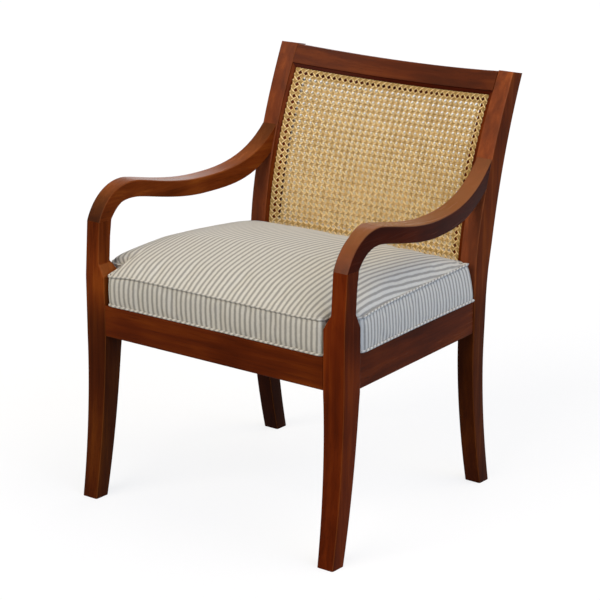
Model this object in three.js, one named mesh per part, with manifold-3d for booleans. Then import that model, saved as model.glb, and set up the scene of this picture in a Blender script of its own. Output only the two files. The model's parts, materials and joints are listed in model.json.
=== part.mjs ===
// Planter's armchair: stained hardwood frame, caned back and a boxed, piped seat cushion.
// Millimetres, +Z up, the front faces -Y. Left and right are the sitter's: left is +X.
import * as THREE from 'three';
import { mergeVertices } from 'three/addons/utils/BufferGeometryUtils.js';
import Module from 'manifold-3d';

// Driving dimensions of the whole chair
const overallHeight = 860;
const seatRailTop = 409;
const frontRailHeight = 64.5;
const sideRailHeight = 71.5;
const frontHalfWidth = 325;
const rearHalfWidthAtFloor = 288;
const rearHalfWidthAtTop = 295.5;
const frontLegFace = -271;
const rearLegFace = 215.5;

// Fits and tooling
const pieceGap = 0.3;
const boardGap = 1;
const easedEdge = 3;
const cutOverrun = 12;

// Front leg: a sabre foot, a thick block at the seat, a shoulder and a thinner post
const frontFootKick = 29;
const frontFootWidth = 37.5;
const frontFootDepth = 35.5;
const footTaperIn = 3.3;
const blockWidth = 50.5;
const blockDepth = 52;
const postWidth = 34;
const postDepth = 35.5;
const postLean = 8;
const shoulderBottom = 465;
const shoulderTop = 494;
const knuckleHeight = 577;
const knuckleDepth = 38;
const underArmFlare = 34;
const legTaperPowerShare = 0.8;
const footKickPowerShare = 2;

// Rear leg and stile: one stick, sabre below the seat and raked above it
const rearFootKick = 41;
const rearFootKickTop = 300;
const rearKickPowerShare = 1.8;
const backRake = 115.5;
const rakeStart = 460;
const rakeSpan = 400;
const rakePowerShare = 1.62;
const rearFootWidth = 37;
const stileWidth = 39.5;
const rearFootDepth = 33;
const rearSeatDepth = 44;
const stileSwellDepth = 54;
const stileSwellHeight = 530;
const stileTopDepth = 37;
const stileToe = 7;
const toeStart = 640;
const topCutShare = 0.21;

// Arm: sawn to an S, with a bend over the post and a sweep up into the stile
const armCrownHeight = 646.7;
const armDipHeight = 616.6;
const armThickness = 35.3;
const armCrownReach = 100;
const armUnderCrownReach = 64;
const armDipPlace = 44;
const armTopJoint = 693;
const armUnderJoint = 633;
const armWidestWidth = 53;
const armWaistWidth = 44;
const armEndWidth = 36.5;
const armTopShares = [
  [[0.17, 0.61], [0.55, 1]],
  [[0.13, 0], [0.57, 1]],
  [[0.4, 0], [0.73, 0.155]],
];
const armUnderShares = [
  [[0.26, 0.67], [0.54, 1]],
  [[0.13, 0], [0.63, 1]],
  [[0.38, 0], [0.68, 0.05]],
];
const armOuterTaperShare = 0.3;
const armWidestShare = 0.335;
const armSwellStartShare = 0.09;
const armWaistShare = 0.58;

// Crest rail, lower back rail and the bow of the back
const crestHeight = 39;
const crestThickness = 28;
const backBowAtTop = 28;
const backBowAtSeat = 14;
const lowerRailBottom = 436;
const lowerRailHeight = 38;
const lowerRailThickness = 26;
const backTenonLength = 22;
const backTenonThickness = 10;
const backTenonShoulder = 9;

// Cane panel: a mitred frame with a sheet of webbing let into each face
const panelRecess = 3;
const panelThickness = 18;
const panelMargin = 7;
const panelMemberWidth = 24;
const caneThickness = 2.2;

// Seat rails
const railThickness = 24;
const sideRailFrontInset = 11.5;
const sideRailRearInset = 3;
const railFaceInset = 0.8;
const rearRailInset = 10.5;
const railTenonThickness = 10;
const railTenonShoulder = 12;
const frontTenonLength = 22;
const rearTenonLength = 17;

// Corner blocks, their screws and the seat board
const cornerBlockHeight = 38;
const cornerBlockReach = 40;
const boardThickness = 12;
const screwRadius = 2.25;
const screwHeadRadius = 4.5;
const screwHeadHeight = 3;
const blockScrewLength = 30;
const screwSeat = 12;
const seatScrewLength = 34;
const seatScrewCover = 4;
const headRoom = 0.6;

// Dowels
const dowelRadius = 4;
const dowelSpacing = 15;
const postDowelLength = 40;
const postDowelBack = 24;
const stileDowelLength = 40;
const stileDowelAbove = 15;
const dowelEndRoom = 1;

// Cushion and its piping
const cushionSeamHeight = 73;
const cushionSeamRise = 4;
const cushionFrontInset = 3.5;
const cushionPostGap = 4.5;
const cushionPostRearGap = 5;
const cushionOverhang = 5;
const cushionRearGap = 4.5;
const cushionRearLean = 14;
const cushionRearDraw = 4;
const cushionCornerRadius = 11;
const cushionNotchRadius = 6;
const cushionRearRadius = 16;
const cushionDrawIn = 2;
const boxingBulge = 1.5;
const seamPinch = 3.4;
const pipingRadius = 2.4;
const pipingStand = 0.6;
const seamHalfWidth = 3.2;
const crownRise = 58;
const crownPeakShare = 0.36;
const crownSideShares = [1.9, 0.45];
const crownFrontShares = [1, 0.49];
const crownRearShares = [1.65, 0.6];
const crownNotchEase = 11;
const crownRingShares = [0.012, 0.04, 0.09, 0.16, 0.26, 0.38, 0.53, 0.7, 0.88];

// Facets
const cornerSteps = 2;
const armSteps = 14;
const legSteps = 14;
const backSteps = 16;
const roundSides = 14;
const pipingSides = 8;
const cushionCornerSteps = 4;
const cushionEdgeSteps = 7;

const wasm = await Module();
wasm.setup();

// Materials
const mahogany = new THREE.MeshStandardMaterial({ color: 0x6b2f12, roughness: 0.38, metalness: 0 });
const innerWood = new THREE.MeshStandardMaterial({ color: 0xb08a5c, roughness: 0.7, metalness: 0 });
const plywood = new THREE.MeshStandardMaterial({ color: 0xc9a876, roughness: 0.75, metalness: 0 });
const rattanCane = new THREE.MeshStandardMaterial({ color: 0xcda869, roughness: 0.55, metalness: 0 });
const tickingCloth = new THREE.MeshStandardMaterial({ color: 0xb9b5a8, roughness: 0.95, metalness: 0 });
const steel = new THREE.MeshStandardMaterial({ color: 0x8c8a86, roughness: 0.4, metalness: 0.9 });

// Helpers

// A smooth curve through [place, value] pairs that never overshoots them (Fritsch-Carlson slopes).
function curveThrough(pairs) {
  const count = pairs.length;
  const slopes = [];
  for (let i = 0; i < count - 1; i++) {
    slopes.push((pairs[i + 1][1] - pairs[i][1]) / (pairs[i + 1][0] - pairs[i][0]));
  }
  const tangents = pairs.map((pair, i) => {
    if (i === 0) return slopes[0];
    if (i === count - 1) return slopes[count - 2];
    if (slopes[i - 1] * slopes[i] <= 0) return 0;
    return (2 * slopes[i - 1] * slopes[i]) / (slopes[i - 1] + slopes[i]);
  });
  return (place) => {
    if (place <= pairs[0][0]) return pairs[0][1];
    if (place >= pairs[count - 1][0]) return pairs[count - 1][1];
    let i = 0;
    while (place > pairs[i + 1][0]) i++;
    const span = pairs[i + 1][0] - pairs[i][0];
    const t = (place - pairs[i][0]) / span;
    const blend = t * t * (3 - 2 * t);
    const rise = pairs[i + 1][1] - pairs[i][1];
    const lead = t * (1 - t) * (1 - t) * span * tangents[i];
    const trail = t * t * (1 - t) * span * tangents[i + 1];
    return pairs[i][1] + rise * blend + lead - trail;
  };
}

// Evenly spread values from low to high, both included.
function spread(low, high, steps) {
  return Array.from({ length: steps + 1 }, (_, i) => low + ((high - low) * i) / steps);
}

// A rectangle with rounded corners, as a ring of points.
function roundedRectangle(aLow, aHigh, bLow, bHigh, radius) {
  const ring = [];
  const corners = [
    [aHigh - radius, bHigh - radius, 0],
    [aLow + radius, bHigh - radius, 1],
    [aLow + radius, bLow + radius, 2],
    [aHigh - radius, bLow + radius, 3],
  ];
  for (const [a, b, quarter] of corners) {
    for (let i = 0; i <= cornerSteps; i++) {
      const angle = (quarter + i / cornerSteps) * (Math.PI / 2);
      ring.push(new THREE.Vector2(a + radius * Math.cos(angle), b + radius * Math.sin(angle)));
    }
  }
  return ring;
}

// A plain mesh from points and triangles, turned so that its faces point out.
function solidFrom(points, triangles) {
  let volume = 0;
  for (const [a, b, c] of triangles) {
    volume += points[a].dot(new THREE.Vector3().crossVectors(points[b], points[c]));
  }
  const index = triangles.flatMap(([a, b, c]) => (volume < 0 ? [a, c, b] : [a, b, c]));
  const geometry = new THREE.BufferGeometry();
  geometry.setFromPoints(points);
  geometry.setIndex(index);
  return geometry;
}

// A solid through rings of points; each ring is a flat outline placed in space.
function loft(outlines, rings) {
  const size = rings[0].length;
  const points = rings.flat();
  const triangles = [];
  for (let r = 0; r < rings.length - 1; r++) {
    for (let i = 0; i < size; i++) {
      const a = r * size + i;
      const b = r * size + ((i + 1) % size);
      triangles.push([a, b, b + size], [a, b + size, a + size]);
    }
  }
  const lastRing = (rings.length - 1) * size;
  const lids = [[outlines[0], 0, 1], [outlines[outlines.length - 1], lastRing, 0]];
  for (const [outline, offset, turned] of lids) {
    const clockwise = THREE.ShapeUtils.isClockWise(outline) ? 1 : 0;
    for (const [a, b, c] of THREE.ShapeUtils.triangulateShape(outline, [])) {
      const flip = turned !== clockwise;
      triangles.push(flip ? [offset + a, offset + c, offset + b] : [offset + a, offset + b, offset + c]);
    }
  }
  return solidFrom(points, triangles);
}

// A solid through the sections that sectionAt(step) gives as { outline, place }.
function loftSections(steps, sectionAt) {
  const sections = steps.map(sectionAt);
  const outlines = sections.map((section) => section.outline);
  const rings = sections.map((section) => section.outline.map((point) => section.place(point)));
  return loft(outlines, rings);
}

// An upright prism from a flat outline.
function prism(outline, bottom, top) {
  const shape = new THREE.Shape(outline.map(([x, y]) => new THREE.Vector2(x, y)));
  const geometry = new THREE.ExtrudeGeometry(shape, { depth: top - bottom, bevelEnabled: false });
  geometry.translate(0, 0, bottom);
  return geometry;
}

function box(low, high) {
  const size = new THREE.Vector3().subVectors(high, low);
  const geometry = new THREE.BoxGeometry(size.x, size.y, size.z);
  const centre = low.clone().add(high).multiplyScalar(1 / 2);
  geometry.translate(centre.x, centre.y, centre.z);
  return geometry;
}

// A round bar between two points.
function bar(from, to, radius) {
  const along = new THREE.Vector3().subVectors(to, from);
  const geometry = new THREE.CylinderGeometry(radius, radius, along.length(), roundSides);
  const turn = new THREE.Quaternion().setFromUnitVectors(new THREE.Vector3(0, 1, 0), along.normalize());
  geometry.applyQuaternion(turn);
  const centre = from.clone().add(to).multiplyScalar(1 / 2);
  geometry.translate(centre.x, centre.y, centre.z);
  return geometry;
}

function positionsOnly(geometry) {
  const plain = new THREE.BufferGeometry();
  plain.setAttribute('position', geometry.getAttribute('position').clone());
  if (geometry.index) plain.setIndex(geometry.index.clone());
  return mergeVertices(plain);
}

function toSolid(geometry) {
  const merged = positionsOnly(geometry);
  return new wasm.Manifold(new wasm.Mesh({
    numProp: 3,
    vertProperties: new Float32Array(merged.getAttribute('position').array),
    triVerts: new Uint32Array(merged.index.array),
  }));
}

function toGeometry(solid) {
  const mesh = solid.getMesh();
  const geometry = new THREE.BufferGeometry();
  const positions = new Float32Array(mesh.vertProperties);
  geometry.setAttribute('position', new THREE.BufferAttribute(positions, mesh.numProp));
  geometry.setIndex(new THREE.BufferAttribute(new Uint32Array(mesh.triVerts), 1));
  return geometry;
}

function cut(body, cutters) {
  let solid = toSolid(body);
  for (const cutter of cutters) solid = solid.subtract(toSolid(cutter));
  return toGeometry(solid);
}

function joined(body, additions) {
  let solid = toSolid(body);
  for (const addition of additions) solid = solid.add(toSolid(addition));
  return toGeometry(solid);
}

// The mirror image across the chair's middle, with its faces still pointing out.
function mirrored(geometry) {
  const twin = positionsOnly(geometry);
  twin.scale(-1, 1, 1);
  const index = twin.index.array;
  for (let i = 0; i < index.length; i += 3) {
    [index[i + 1], index[i + 2]] = [index[i + 2], index[i + 1]];
  }
  return twin;
}

const chair = new THREE.Group();

function addPiece(name, geometry, material) {
  const mesh = new THREE.Mesh(positionsOnly(geometry), material);
  mesh.name = name;
  chair.add(mesh);
}

function addPair(name, leftGeometry, material) {
  addPiece(`${name}_left`, leftGeometry, material);
  addPiece(`${name}_right`, mirrored(leftGeometry), material);
}

// Heights that several pieces share
const frontRailBottom = seatRailTop - frontRailHeight;
const sideRailBottom = seatRailTop - sideRailHeight;
const crestBottom = overallHeight - crestHeight;
const lowerRailTop = lowerRailBottom + lowerRailHeight;

// Front leg

// How far the foot has kicked out from the straight upper leg, 1 at the floor.
function frontKickShare(height) {
  return height < sideRailBottom ? (1 - height / sideRailBottom) ** footKickPowerShare : 0;
}

function frontLegTaperShare(height) {
  return height < sideRailBottom ? (1 - height / sideRailBottom) ** legTaperPowerShare : 0;
}

const postShare = curveThrough([[shoulderBottom, 0], [shoulderTop, 1]]);
const kneeStart = knuckleHeight - underArmFlare;
const kneeShare = curveThrough([[kneeStart, 0], [knuckleHeight, 1]]);

function frontLegFront(height) {
  const lean = postLean * Math.max(0, (height - shoulderBottom) / (knuckleHeight - shoulderBottom));
  return frontLegFace - frontFootKick * frontKickShare(height) + lean;
}

function frontLegDepth(height) {
  const lower = blockDepth - (blockDepth - frontFootDepth) * frontLegTaperShare(height);
  const upper = postDepth + (knuckleDepth - postDepth) * kneeShare(height);
  return lower + (upper - lower) * postShare(height);
}

function frontLegOuter(height) {
  return frontHalfWidth - footTaperIn * frontLegTaperShare(height);
}

function frontLegWidth(height) {
  const lower = blockWidth - (blockWidth - frontFootWidth) * frontLegTaperShare(height);
  return lower + (postWidth - lower) * postShare(height);
}

const frontLegInner = frontHalfWidth - blockWidth;
const frontLegRear = frontLegFace + blockDepth;
const armRootFront = frontLegFront(knuckleHeight);
const armRootRear = armRootFront + knuckleDepth;

function frontLegBlank() {
  const heights = [
    ...spread(0, sideRailBottom, legSteps),
    ...spread(shoulderBottom, shoulderTop, legSteps / 2),
    ...spread(kneeStart, knuckleHeight - pieceGap, legSteps / 2),
  ];
  return loftSections(heights, (height) => {
    const outer = frontLegOuter(height);
    const front = frontLegFront(height);
    const inner = outer - frontLegWidth(height);
    const rear = front + frontLegDepth(height);
    return {
      outline: roundedRectangle(inner, outer, front, rear, easedEdge),
      place: (point) => new THREE.Vector3(point.x, point.y, height),
    };
  });
}

// Rear leg and the surface of the back

function rakeShare(height) {
  return Math.max(0, (height - rakeStart) / rakeSpan);
}

// The front face of the rear leg, as a distance along Y at a height.
function stileFront(height) {
  const kick = height < rearFootKickTop ? (1 - height / rearFootKickTop) ** rearKickPowerShare : 0;
  return rearLegFace + rearFootKick * kick + backRake * rakeShare(height) ** rakePowerShare;
}

function stileOuter(height) {
  return rearHalfWidthAtFloor + ((rearHalfWidthAtTop - rearHalfWidthAtFloor) * height) / overallHeight;
}

const stileWidthAt = curveThrough([[0, rearFootWidth], [sideRailBottom, stileWidth]]);
const stileDepthAt = curveThrough([
  [0, rearFootDepth],
  [seatRailTop, rearSeatDepth],
  [stileSwellHeight, stileSwellDepth],
  [overallHeight, stileTopDepth],
]);

function stileInner(height) {
  return stileOuter(height) - stileWidthAt(height);
}

function toeAt(height) {
  return stileToe * Math.max(0, (height - toeStart) / (overallHeight - toeStart)) ** 2;
}

// Unit vector out of the back's surface, towards the rear and down.
function backNormal(height) {
  const slope = ((backRake * rakePowerShare) / rakeSpan) * rakeShare(height) ** (rakePowerShare - 1);
  return new THREE.Vector3(0, 1, -slope).normalize();
}

// The direction of the stile's thickness: level at the seat, tilted at the top cut.
function stileThicknessDirection(height) {
  return new THREE.Vector3(0, 1, -topCutShare * rakeShare(height)).normalize();
}

function bowAt(x, height) {
  const half = stileInner(height);
  const across = Math.min(1, Math.abs(x) / half);
  const climb = (height - seatRailTop) / (overallHeight - seatRailTop);
  const bow = backBowAtSeat + (backBowAtTop - backBowAtSeat) * climb;
  return toeAt(height) + bow * (1 - across * across);
}

// A point of the bowed back: across, up, and a depth behind the stiles' front.
function backPoint(x, height, depth) {
  const point = new THREE.Vector3(x, stileFront(height), height);
  point.addScaledVector(backNormal(height), bowAt(x, height));
  return point.addScaledVector(stileThicknessDirection(height), depth);
}

function rearLegBlank(grow, sideGrow) {
  const heights = [
    ...spread(0, rearFootKickTop, legSteps),
    ...spread(seatRailTop, overallHeight, backSteps),
  ];
  return loftSections(heights, (height) => {
    const outer = stileOuter(height) + sideGrow;
    const inner = stileInner(height) - sideGrow;
    const depth = stileDepthAt(height) + grow;
    const direction = stileThicknessDirection(height);
    return {
      outline: roundedRectangle(inner, outer, -grow, depth, easedEdge),
      place: (point) => {
        const across = (outer - point.x) / (outer - inner);
        const toe = toeAt(height) * across * (1 - Math.max(0, point.y) / depth);
        const place = new THREE.Vector3(point.x, stileFront(height), height);
        return place.addScaledVector(direction, point.y + toe);
      },
    };
  });
}

// Arm

// A curve of three Bezier stretches through four places, with handles in shares of each stretch.
function stretchCurve(places, shares) {
  const path = new THREE.CurvePath();
  shares.forEach(([first, second], i) => {
    const start = places[i];
    const end = places[i + 1];
    const handle = (share) => new THREE.Vector2(
      start.x + (end.x - start.x) * share[0],
      start.y + (end.y - start.y) * share[1],
    );
    path.add(new THREE.CubicBezierCurve(start, handle(first), handle(second), end));
  });
  return path.curves;
}

function buildArmBlank() {
  const root = knuckleHeight;
  const top = stretchCurve([
    new THREE.Vector2(armRootFront, root),
    new THREE.Vector2(armRootFront + armCrownReach, armCrownHeight),
    new THREE.Vector2(armDipPlace, armDipHeight),
    new THREE.Vector2(stileFront(armTopJoint) + easedEdge, armTopJoint + easedEdge),
  ], armTopShares);
  const under = stretchCurve([
    new THREE.Vector2(armRootRear, root),
    new THREE.Vector2(armRootRear + armUnderCrownReach, armCrownHeight - armThickness),
    new THREE.Vector2(armDipPlace, armDipHeight - armThickness),
    new THREE.Vector2(stileFront(armUnderJoint) + easedEdge, armUnderJoint + easedEdge),
  ], armUnderShares);
  const end = stileFront(armTopJoint);
  const length = end - armRootFront;
  const outerAt = curveThrough([
    [armRootFront, frontHalfWidth],
    [armRootFront + length * armOuterTaperShare, frontHalfWidth - pieceGap],
    [end, stileOuter(armTopJoint) - pieceGap],
  ]);
  const widthAt = curveThrough([
    [armRootFront + length * armSwellStartShare, postWidth],
    [armRootFront + length * armWidestShare, armWidestWidth],
    [armRootFront + length * armWaistShare, armWaistWidth],
    [end, armEndWidth],
  ]);
  const steps = [];
  top.forEach((_, stretch) => {
    const first = stretch === 0 ? 0 : 1;
    for (let i = first; i <= armSteps; i++) steps.push([stretch, i / armSteps]);
  });
  return loftSections(steps, ([stretch, t]) => {
    const upper = top[stretch].getPoint(t);
    const lower = under[stretch].getPoint(t);
    const thickness = upper.distanceTo(lower);
    const towards = new THREE.Vector2().subVectors(lower, upper).multiplyScalar(1 / thickness);
    const outer = outerAt(upper.x);
    const inner = outer - widthAt(upper.x);
    return {
      outline: roundedRectangle(inner, outer, 0, thickness, easedEdge),
      place: (point) => new THREE.Vector3(
        point.x,
        upper.x + towards.x * point.y,
        upper.y + towards.y * point.y,
      ),
    };
  });
}

// Dowels: two side by side in each joint of the arm

const postMiddle = frontHalfWidth - postWidth / 2;
const postDowelPlace = armRootFront + postDowelBack;
const stileDowelHeight = armUnderJoint + stileDowelAbove;
const stileDowelPlace = stileFront(stileDowelHeight);
const armEndMiddle = stileOuter(armTopJoint) - armEndWidth / 2;

function postDowels(radius, extra) {
  return [-1, 1].map((side) => {
    const x = postMiddle + (side * dowelSpacing) / 2;
    const reach = postDowelLength / 2 + extra;
    return bar(
      new THREE.Vector3(x, postDowelPlace, knuckleHeight - reach),
      new THREE.Vector3(x, postDowelPlace, knuckleHeight + reach),
      radius,
    );
  });
}

function stileDowels(radius, extra) {
  return [-1, 1].map((side) => {
    const x = armEndMiddle + (side * dowelSpacing) / 2;
    const reach = stileDowelLength / 2 + extra;
    return bar(
      new THREE.Vector3(x, stileDowelPlace - reach, stileDowelHeight),
      new THREE.Vector3(x, stileDowelPlace + reach, stileDowelHeight),
      radius,
    );
  });
}

const dowelHole = dowelRadius + pieceGap;
const postDowelHoles = postDowels(dowelHole, dowelEndRoom);
const stileDowelHoles = stileDowels(dowelHole, dowelEndRoom);

// Seat rails

const frontRailFace = frontLegFace + railFaceInset;
const frontRailInner = frontRailFace + railThickness;
const rearRailFront = rearLegFace + rearRailInset;
const rearLegInner = stileInner(sideRailBottom);
const sideRailFrontOuter = frontHalfWidth - sideRailFrontInset;
const sideRailRearOuter = stileOuter(seatRailTop) - sideRailRearInset;

function sideRailOuter(y) {
  const share = (y - frontLegRear) / (rearLegFace - frontLegRear);
  return sideRailFrontOuter + (sideRailRearOuter - sideRailFrontOuter) * share;
}

function sideRailInner(y) {
  return sideRailOuter(y) - railThickness;
}

// A tenon or, grown by a gap, its mortise.
function tenonBox(low, high, grow) {
  const room = new THREE.Vector3(grow, grow, grow);
  return box(low.clone().sub(room), high.clone().add(room));
}

const frontTenonBottom = frontRailBottom + railTenonShoulder;
const sideTenonBottom = sideRailBottom + railTenonShoulder;
const tenonTop = seatRailTop - railTenonShoulder;
const frontTenonFront = frontRailFace + (railThickness - railTenonThickness) / 2;
const rearTenonFront = rearRailFront + (railThickness - railTenonThickness) / 2;

function frontRailTenon(grow) {
  return tenonBox(
    new THREE.Vector3(frontLegInner - cutOverrun, frontTenonFront, frontTenonBottom),
    new THREE.Vector3(frontLegInner + frontTenonLength, frontTenonFront + railTenonThickness, tenonTop),
    grow,
  );
}

function rearRailTenon(grow) {
  return tenonBox(
    new THREE.Vector3(rearLegInner - cutOverrun, rearTenonFront, sideTenonBottom),
    new THREE.Vector3(rearLegInner + rearTenonLength, rearTenonFront + railTenonThickness, tenonTop),
    grow,
  );
}

function sideRailTenon(legFace, length, grow) {
  const towards = Math.sign(length);
  const middle = sideRailOuter(legFace) - railThickness / 2;
  const ends = [legFace - towards * cutOverrun, legFace + length];
  return tenonBox(
    new THREE.Vector3(middle - railTenonThickness / 2, Math.min(...ends), sideTenonBottom),
    new THREE.Vector3(middle + railTenonThickness / 2, Math.max(...ends), tenonTop),
    grow,
  );
}

const sideTenonsInFrontLeg = (grow) => sideRailTenon(frontLegRear, -frontTenonLength, grow);
const sideTenonsInRearLeg = (grow) => sideRailTenon(rearLegFace, rearTenonLength, grow);

function crossRail(halfLength, front, bottom, tenon) {
  const low = front;
  const high = front + railThickness;
  const body = loftSections([-halfLength, halfLength], (x) => ({
    outline: roundedRectangle(low, high, bottom, seatRailTop, easedEdge),
    place: (point) => new THREE.Vector3(x, point.x, point.y),
  }));
  return joined(body, [tenon, mirrored(tenon)]);
}

function buildSideRail() {
  const ends = [frontLegRear + pieceGap, rearLegFace - pieceGap];
  const body = loftSections(ends, (y) => ({
    outline: roundedRectangle(sideRailInner(y), sideRailOuter(y), sideRailBottom, seatRailTop, easedEdge),
    place: (point) => new THREE.Vector3(point.x, y, point.y),
  }));
  return joined(body, [sideTenonsInFrontLeg(0), sideTenonsInRearLeg(0)]);
}

// Back rails

function backRail(bottom, top, thickness) {
  const places = spread(-1, 1, backSteps);
  return loftSections(places, (across) => ({
    outline: roundedRectangle(bottom, top, 0, thickness, easedEdge),
    place: (point) => {
      const half = stileInner(point.x) - pieceGap;
      return backPoint(across * half, point.x, point.y);
    },
  }));
}

function backTenon(bottom, top, thickness, grow) {
  const low = bottom + backTenonShoulder - grow;
  const high = top - backTenonShoulder + grow;
  const front = (thickness - backTenonThickness) / 2 - grow;
  const rear = (thickness + backTenonThickness) / 2 + grow;
  const outline = [[low, front], [high, front], [high, rear], [low, rear]];
  const starts = [-cutOverrun - grow, backTenonLength + grow];
  return loftSections(starts, (beyond) => ({
    outline: outline.map(([a, b]) => new THREE.Vector2(a, b)),
    place: (point) => {
      const place = backPoint(stileInner(point.x), point.x, point.y);
      place.x += beyond;
      return place;
    },
  }));
}

const crestTenon = (grow) => backTenon(crestBottom, overallHeight, crestThickness, grow);
const lowerTenon = (grow) => backTenon(lowerRailBottom, lowerRailTop, lowerRailThickness, grow);

// Cane panel

const panelBottom = lowerRailTop + pieceGap;
const panelTop = crestBottom - pieceGap;
const caneDepth = caneThickness + pieceGap;

// A member's section: full thickness at its outer margin, stepped down where the cane lies.
function memberOutline() {
  const step = [panelMargin, panelMemberWidth];
  const front = panelRecess;
  const rear = panelRecess + panelThickness;
  return [
    [0, front],
    [step[0], front],
    [step[0], front + caneDepth],
    [step[1], front + caneDepth],
    [step[1], rear - caneDepth],
    [step[0], rear - caneDepth],
    [step[0], rear],
    [0, rear],
  ].map(([a, b]) => new THREE.Vector2(a, b));
}

function panelPoint(fromSide, height, depth, side) {
  const half = stileInner(height) - pieceGap;
  return backPoint(side * (half - fromSide), height, depth);
}

const mitreGap = pieceGap / 2;

function panelSideMember() {
  return loftSections(spread(0, 1, backSteps), (t) => ({
    outline: memberOutline(),
    place: (point) => {
      const low = panelBottom + point.x + mitreGap;
      const high = panelTop - point.x - mitreGap;
      return panelPoint(point.x, low + (high - low) * t, point.y, 1);
    },
  }));
}

function panelCrossMember(atTop) {
  return loftSections(spread(0, 1, backSteps), (t) => ({
    outline: memberOutline(),
    place: (point) => {
      const height = atTop ? panelTop - point.x : panelBottom + point.x;
      const half = stileInner(height) - pieceGap - point.x - mitreGap;
      return backPoint(half * (2 * t - 1), height, point.y);
    },
  }));
}

// A sheet of webbing as a thin bowed solid that fills the frame's rebate.
function caneSheet(depth) {
  const inset = panelMargin + pieceGap;
  const low = panelBottom + inset;
  const high = panelTop - inset;
  const across = spread(-1, 1, backSteps);
  const up = spread(0, 1, backSteps);
  const points = [];
  const triangles = [];
  const faces = [depth, depth + caneThickness];
  for (const face of faces) {
    for (const v of up) {
      for (const u of across) {
        const height = low + (high - low) * v;
        const half = stileInner(height) - pieceGap - inset;
        points.push(backPoint(u * half, height, face));
      }
    }
  }
  const columns = across.length;
  const rows = up.length;
  const sheet = columns * rows;
  for (let v = 0; v < rows - 1; v++) {
    for (let u = 0; u < columns - 1; u++) {
      const a = v * columns + u;
      const [b, c, d] = [a + 1, a + columns + 1, a + columns];
      triangles.push([a, b, c], [a, c, d]);
      triangles.push([a + sheet, c + sheet, b + sheet], [a + sheet, d + sheet, c + sheet]);
    }
  }
  const rim = [
    ...across.map((_, u) => u),
    ...up.slice(1).map((_, v) => (v + 1) * columns + columns - 1),
    ...across.slice(1).map((_, u) => rows * columns - 2 - u),
    ...up.slice(2).map((_, v) => (rows - 2 - v) * columns),
  ];
  rim.forEach((a, i) => {
    const b = rim[(i + 1) % rim.length];
    triangles.push([a, b + sheet, b], [a, a + sheet, b + sheet]);
  });
  return solidFrom(points, triangles);
}

// Corner blocks, screws and the seat board

const boardTop = seatRailTop - pieceGap;
const boardBottom = boardTop - boardThickness;
const blockTop = boardBottom - pieceGap;
const blockBottom = blockTop - cornerBlockHeight;
const blockMiddle = (blockTop + blockBottom) / 2;

// A screw along a direction: its head's underside sits at the seat point.
function screw(seat, direction, length, grow, headReach) {
  const tip = seat.clone().addScaledVector(direction, length + grow);
  const headTop = seat.clone().addScaledVector(direction, -headReach);
  const shank = bar(seat.clone().addScaledVector(direction, -screwHeadHeight / 2), tip, screwRadius + grow);
  const head = bar(headTop, seat.clone().addScaledVector(direction, grow), screwHeadRadius + grow);
  return joined(shank, [head]);
}

// One corner of the seat frame: towards is +1 at the front and -1 at the rear.
function seatCorner(legInner, legFace, railFace, towards) {
  const insideLeg = legInner - pieceGap;
  const insideRail = railFace + towards * pieceGap;
  const pastLeg = legFace + towards * pieceGap;
  const sideEnd = pastLeg + towards * cornerBlockReach;
  const outline = [
    [insideLeg, insideRail],
    [insideLeg, pastLeg],
    [sideRailInner(pastLeg) - pieceGap, pastLeg],
    [sideRailInner(sideEnd) - pieceGap, sideEnd],
    [insideLeg - cornerBlockReach, insideRail],
  ];
  const inRail = {
    seat: new THREE.Vector3(insideLeg - cornerBlockReach / 2, railFace + towards * screwSeat, blockMiddle),
    direction: new THREE.Vector3(0, -towards, 0),
  };
  const sidePlace = pastLeg + (towards * cornerBlockReach) / 3;
  const inSide = {
    seat: new THREE.Vector3(sideRailInner(sidePlace) - screwSeat, sidePlace, blockMiddle),
    direction: new THREE.Vector3(1, 0, 0),
  };
  const inSeat = {
    seat: new THREE.Vector3(
      insideLeg - screwHeadRadius,
      pastLeg + towards * headRoom,
      boardTop - seatScrewCover - seatScrewLength,
    ),
    direction: new THREE.Vector3(0, 0, 1),
  };
  return { outline, inRail, inSide, inSeat };
}

const frontCorner = seatCorner(frontLegInner, frontLegRear, frontRailInner, 1);
const rearCorner = seatCorner(rearLegInner, rearLegFace, rearRailFront, -1);
const corners = { front: frontCorner, rear: rearCorner };

function screwHole({ seat, direction }, length) {
  return screw(seat, direction, length, pieceGap, cornerBlockReach);
}

function screwBody({ seat, direction }, length) {
  return screw(seat, direction, length, 0, screwHeadHeight);
}

function boardHalfOutline() {
  const front = frontRailInner + boardGap;
  const rear = rearRailFront - boardGap;
  const pastFrontLeg = frontLegRear + boardGap;
  const beforeRearLeg = rearLegFace - boardGap;
  return [
    [frontLegInner - boardGap, front],
    [frontLegInner - boardGap, pastFrontLeg],
    [sideRailInner(pastFrontLeg) - boardGap, pastFrontLeg],
    [sideRailInner(beforeRearLeg) - boardGap, beforeRearLeg],
    [rearLegInner - boardGap, beforeRearLeg],
    [rearLegInner - boardGap, rear],
  ];
}

function buildSeatBoard() {
  const half = boardHalfOutline();
  const outline = [...half, ...half.map(([x, y]) => [-x, y]).reverse()];
  const holes = Object.values(corners).flatMap((corner) => {
    const hole = screwHole(corner.inSeat, seatScrewLength);
    return [hole, mirrored(hole)];
  });
  return cut(prism(outline, boardBottom, boardTop), holes);
}

// Cushion

const cushionBottom = seatRailTop + pieceGap;
const seamHeight = seatRailTop + cushionSeamHeight;
const lowerPipingHeight = cushionBottom + pipingRadius;
const cushionFront = frontRailFace + cushionFrontInset;
const cushionRear = rearLegFace - cushionRearGap;
const notchSide = frontLegInner - cushionPostGap;
const notchRear = frontLegRear + cushionPostRearGap;

// The boxing leans in towards the back; rise is 0 at the bottom seam and 1 at the top one.
function cushionRearAt(rise) {
  return cushionRear - cushionRearDraw * rise;
}

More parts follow.
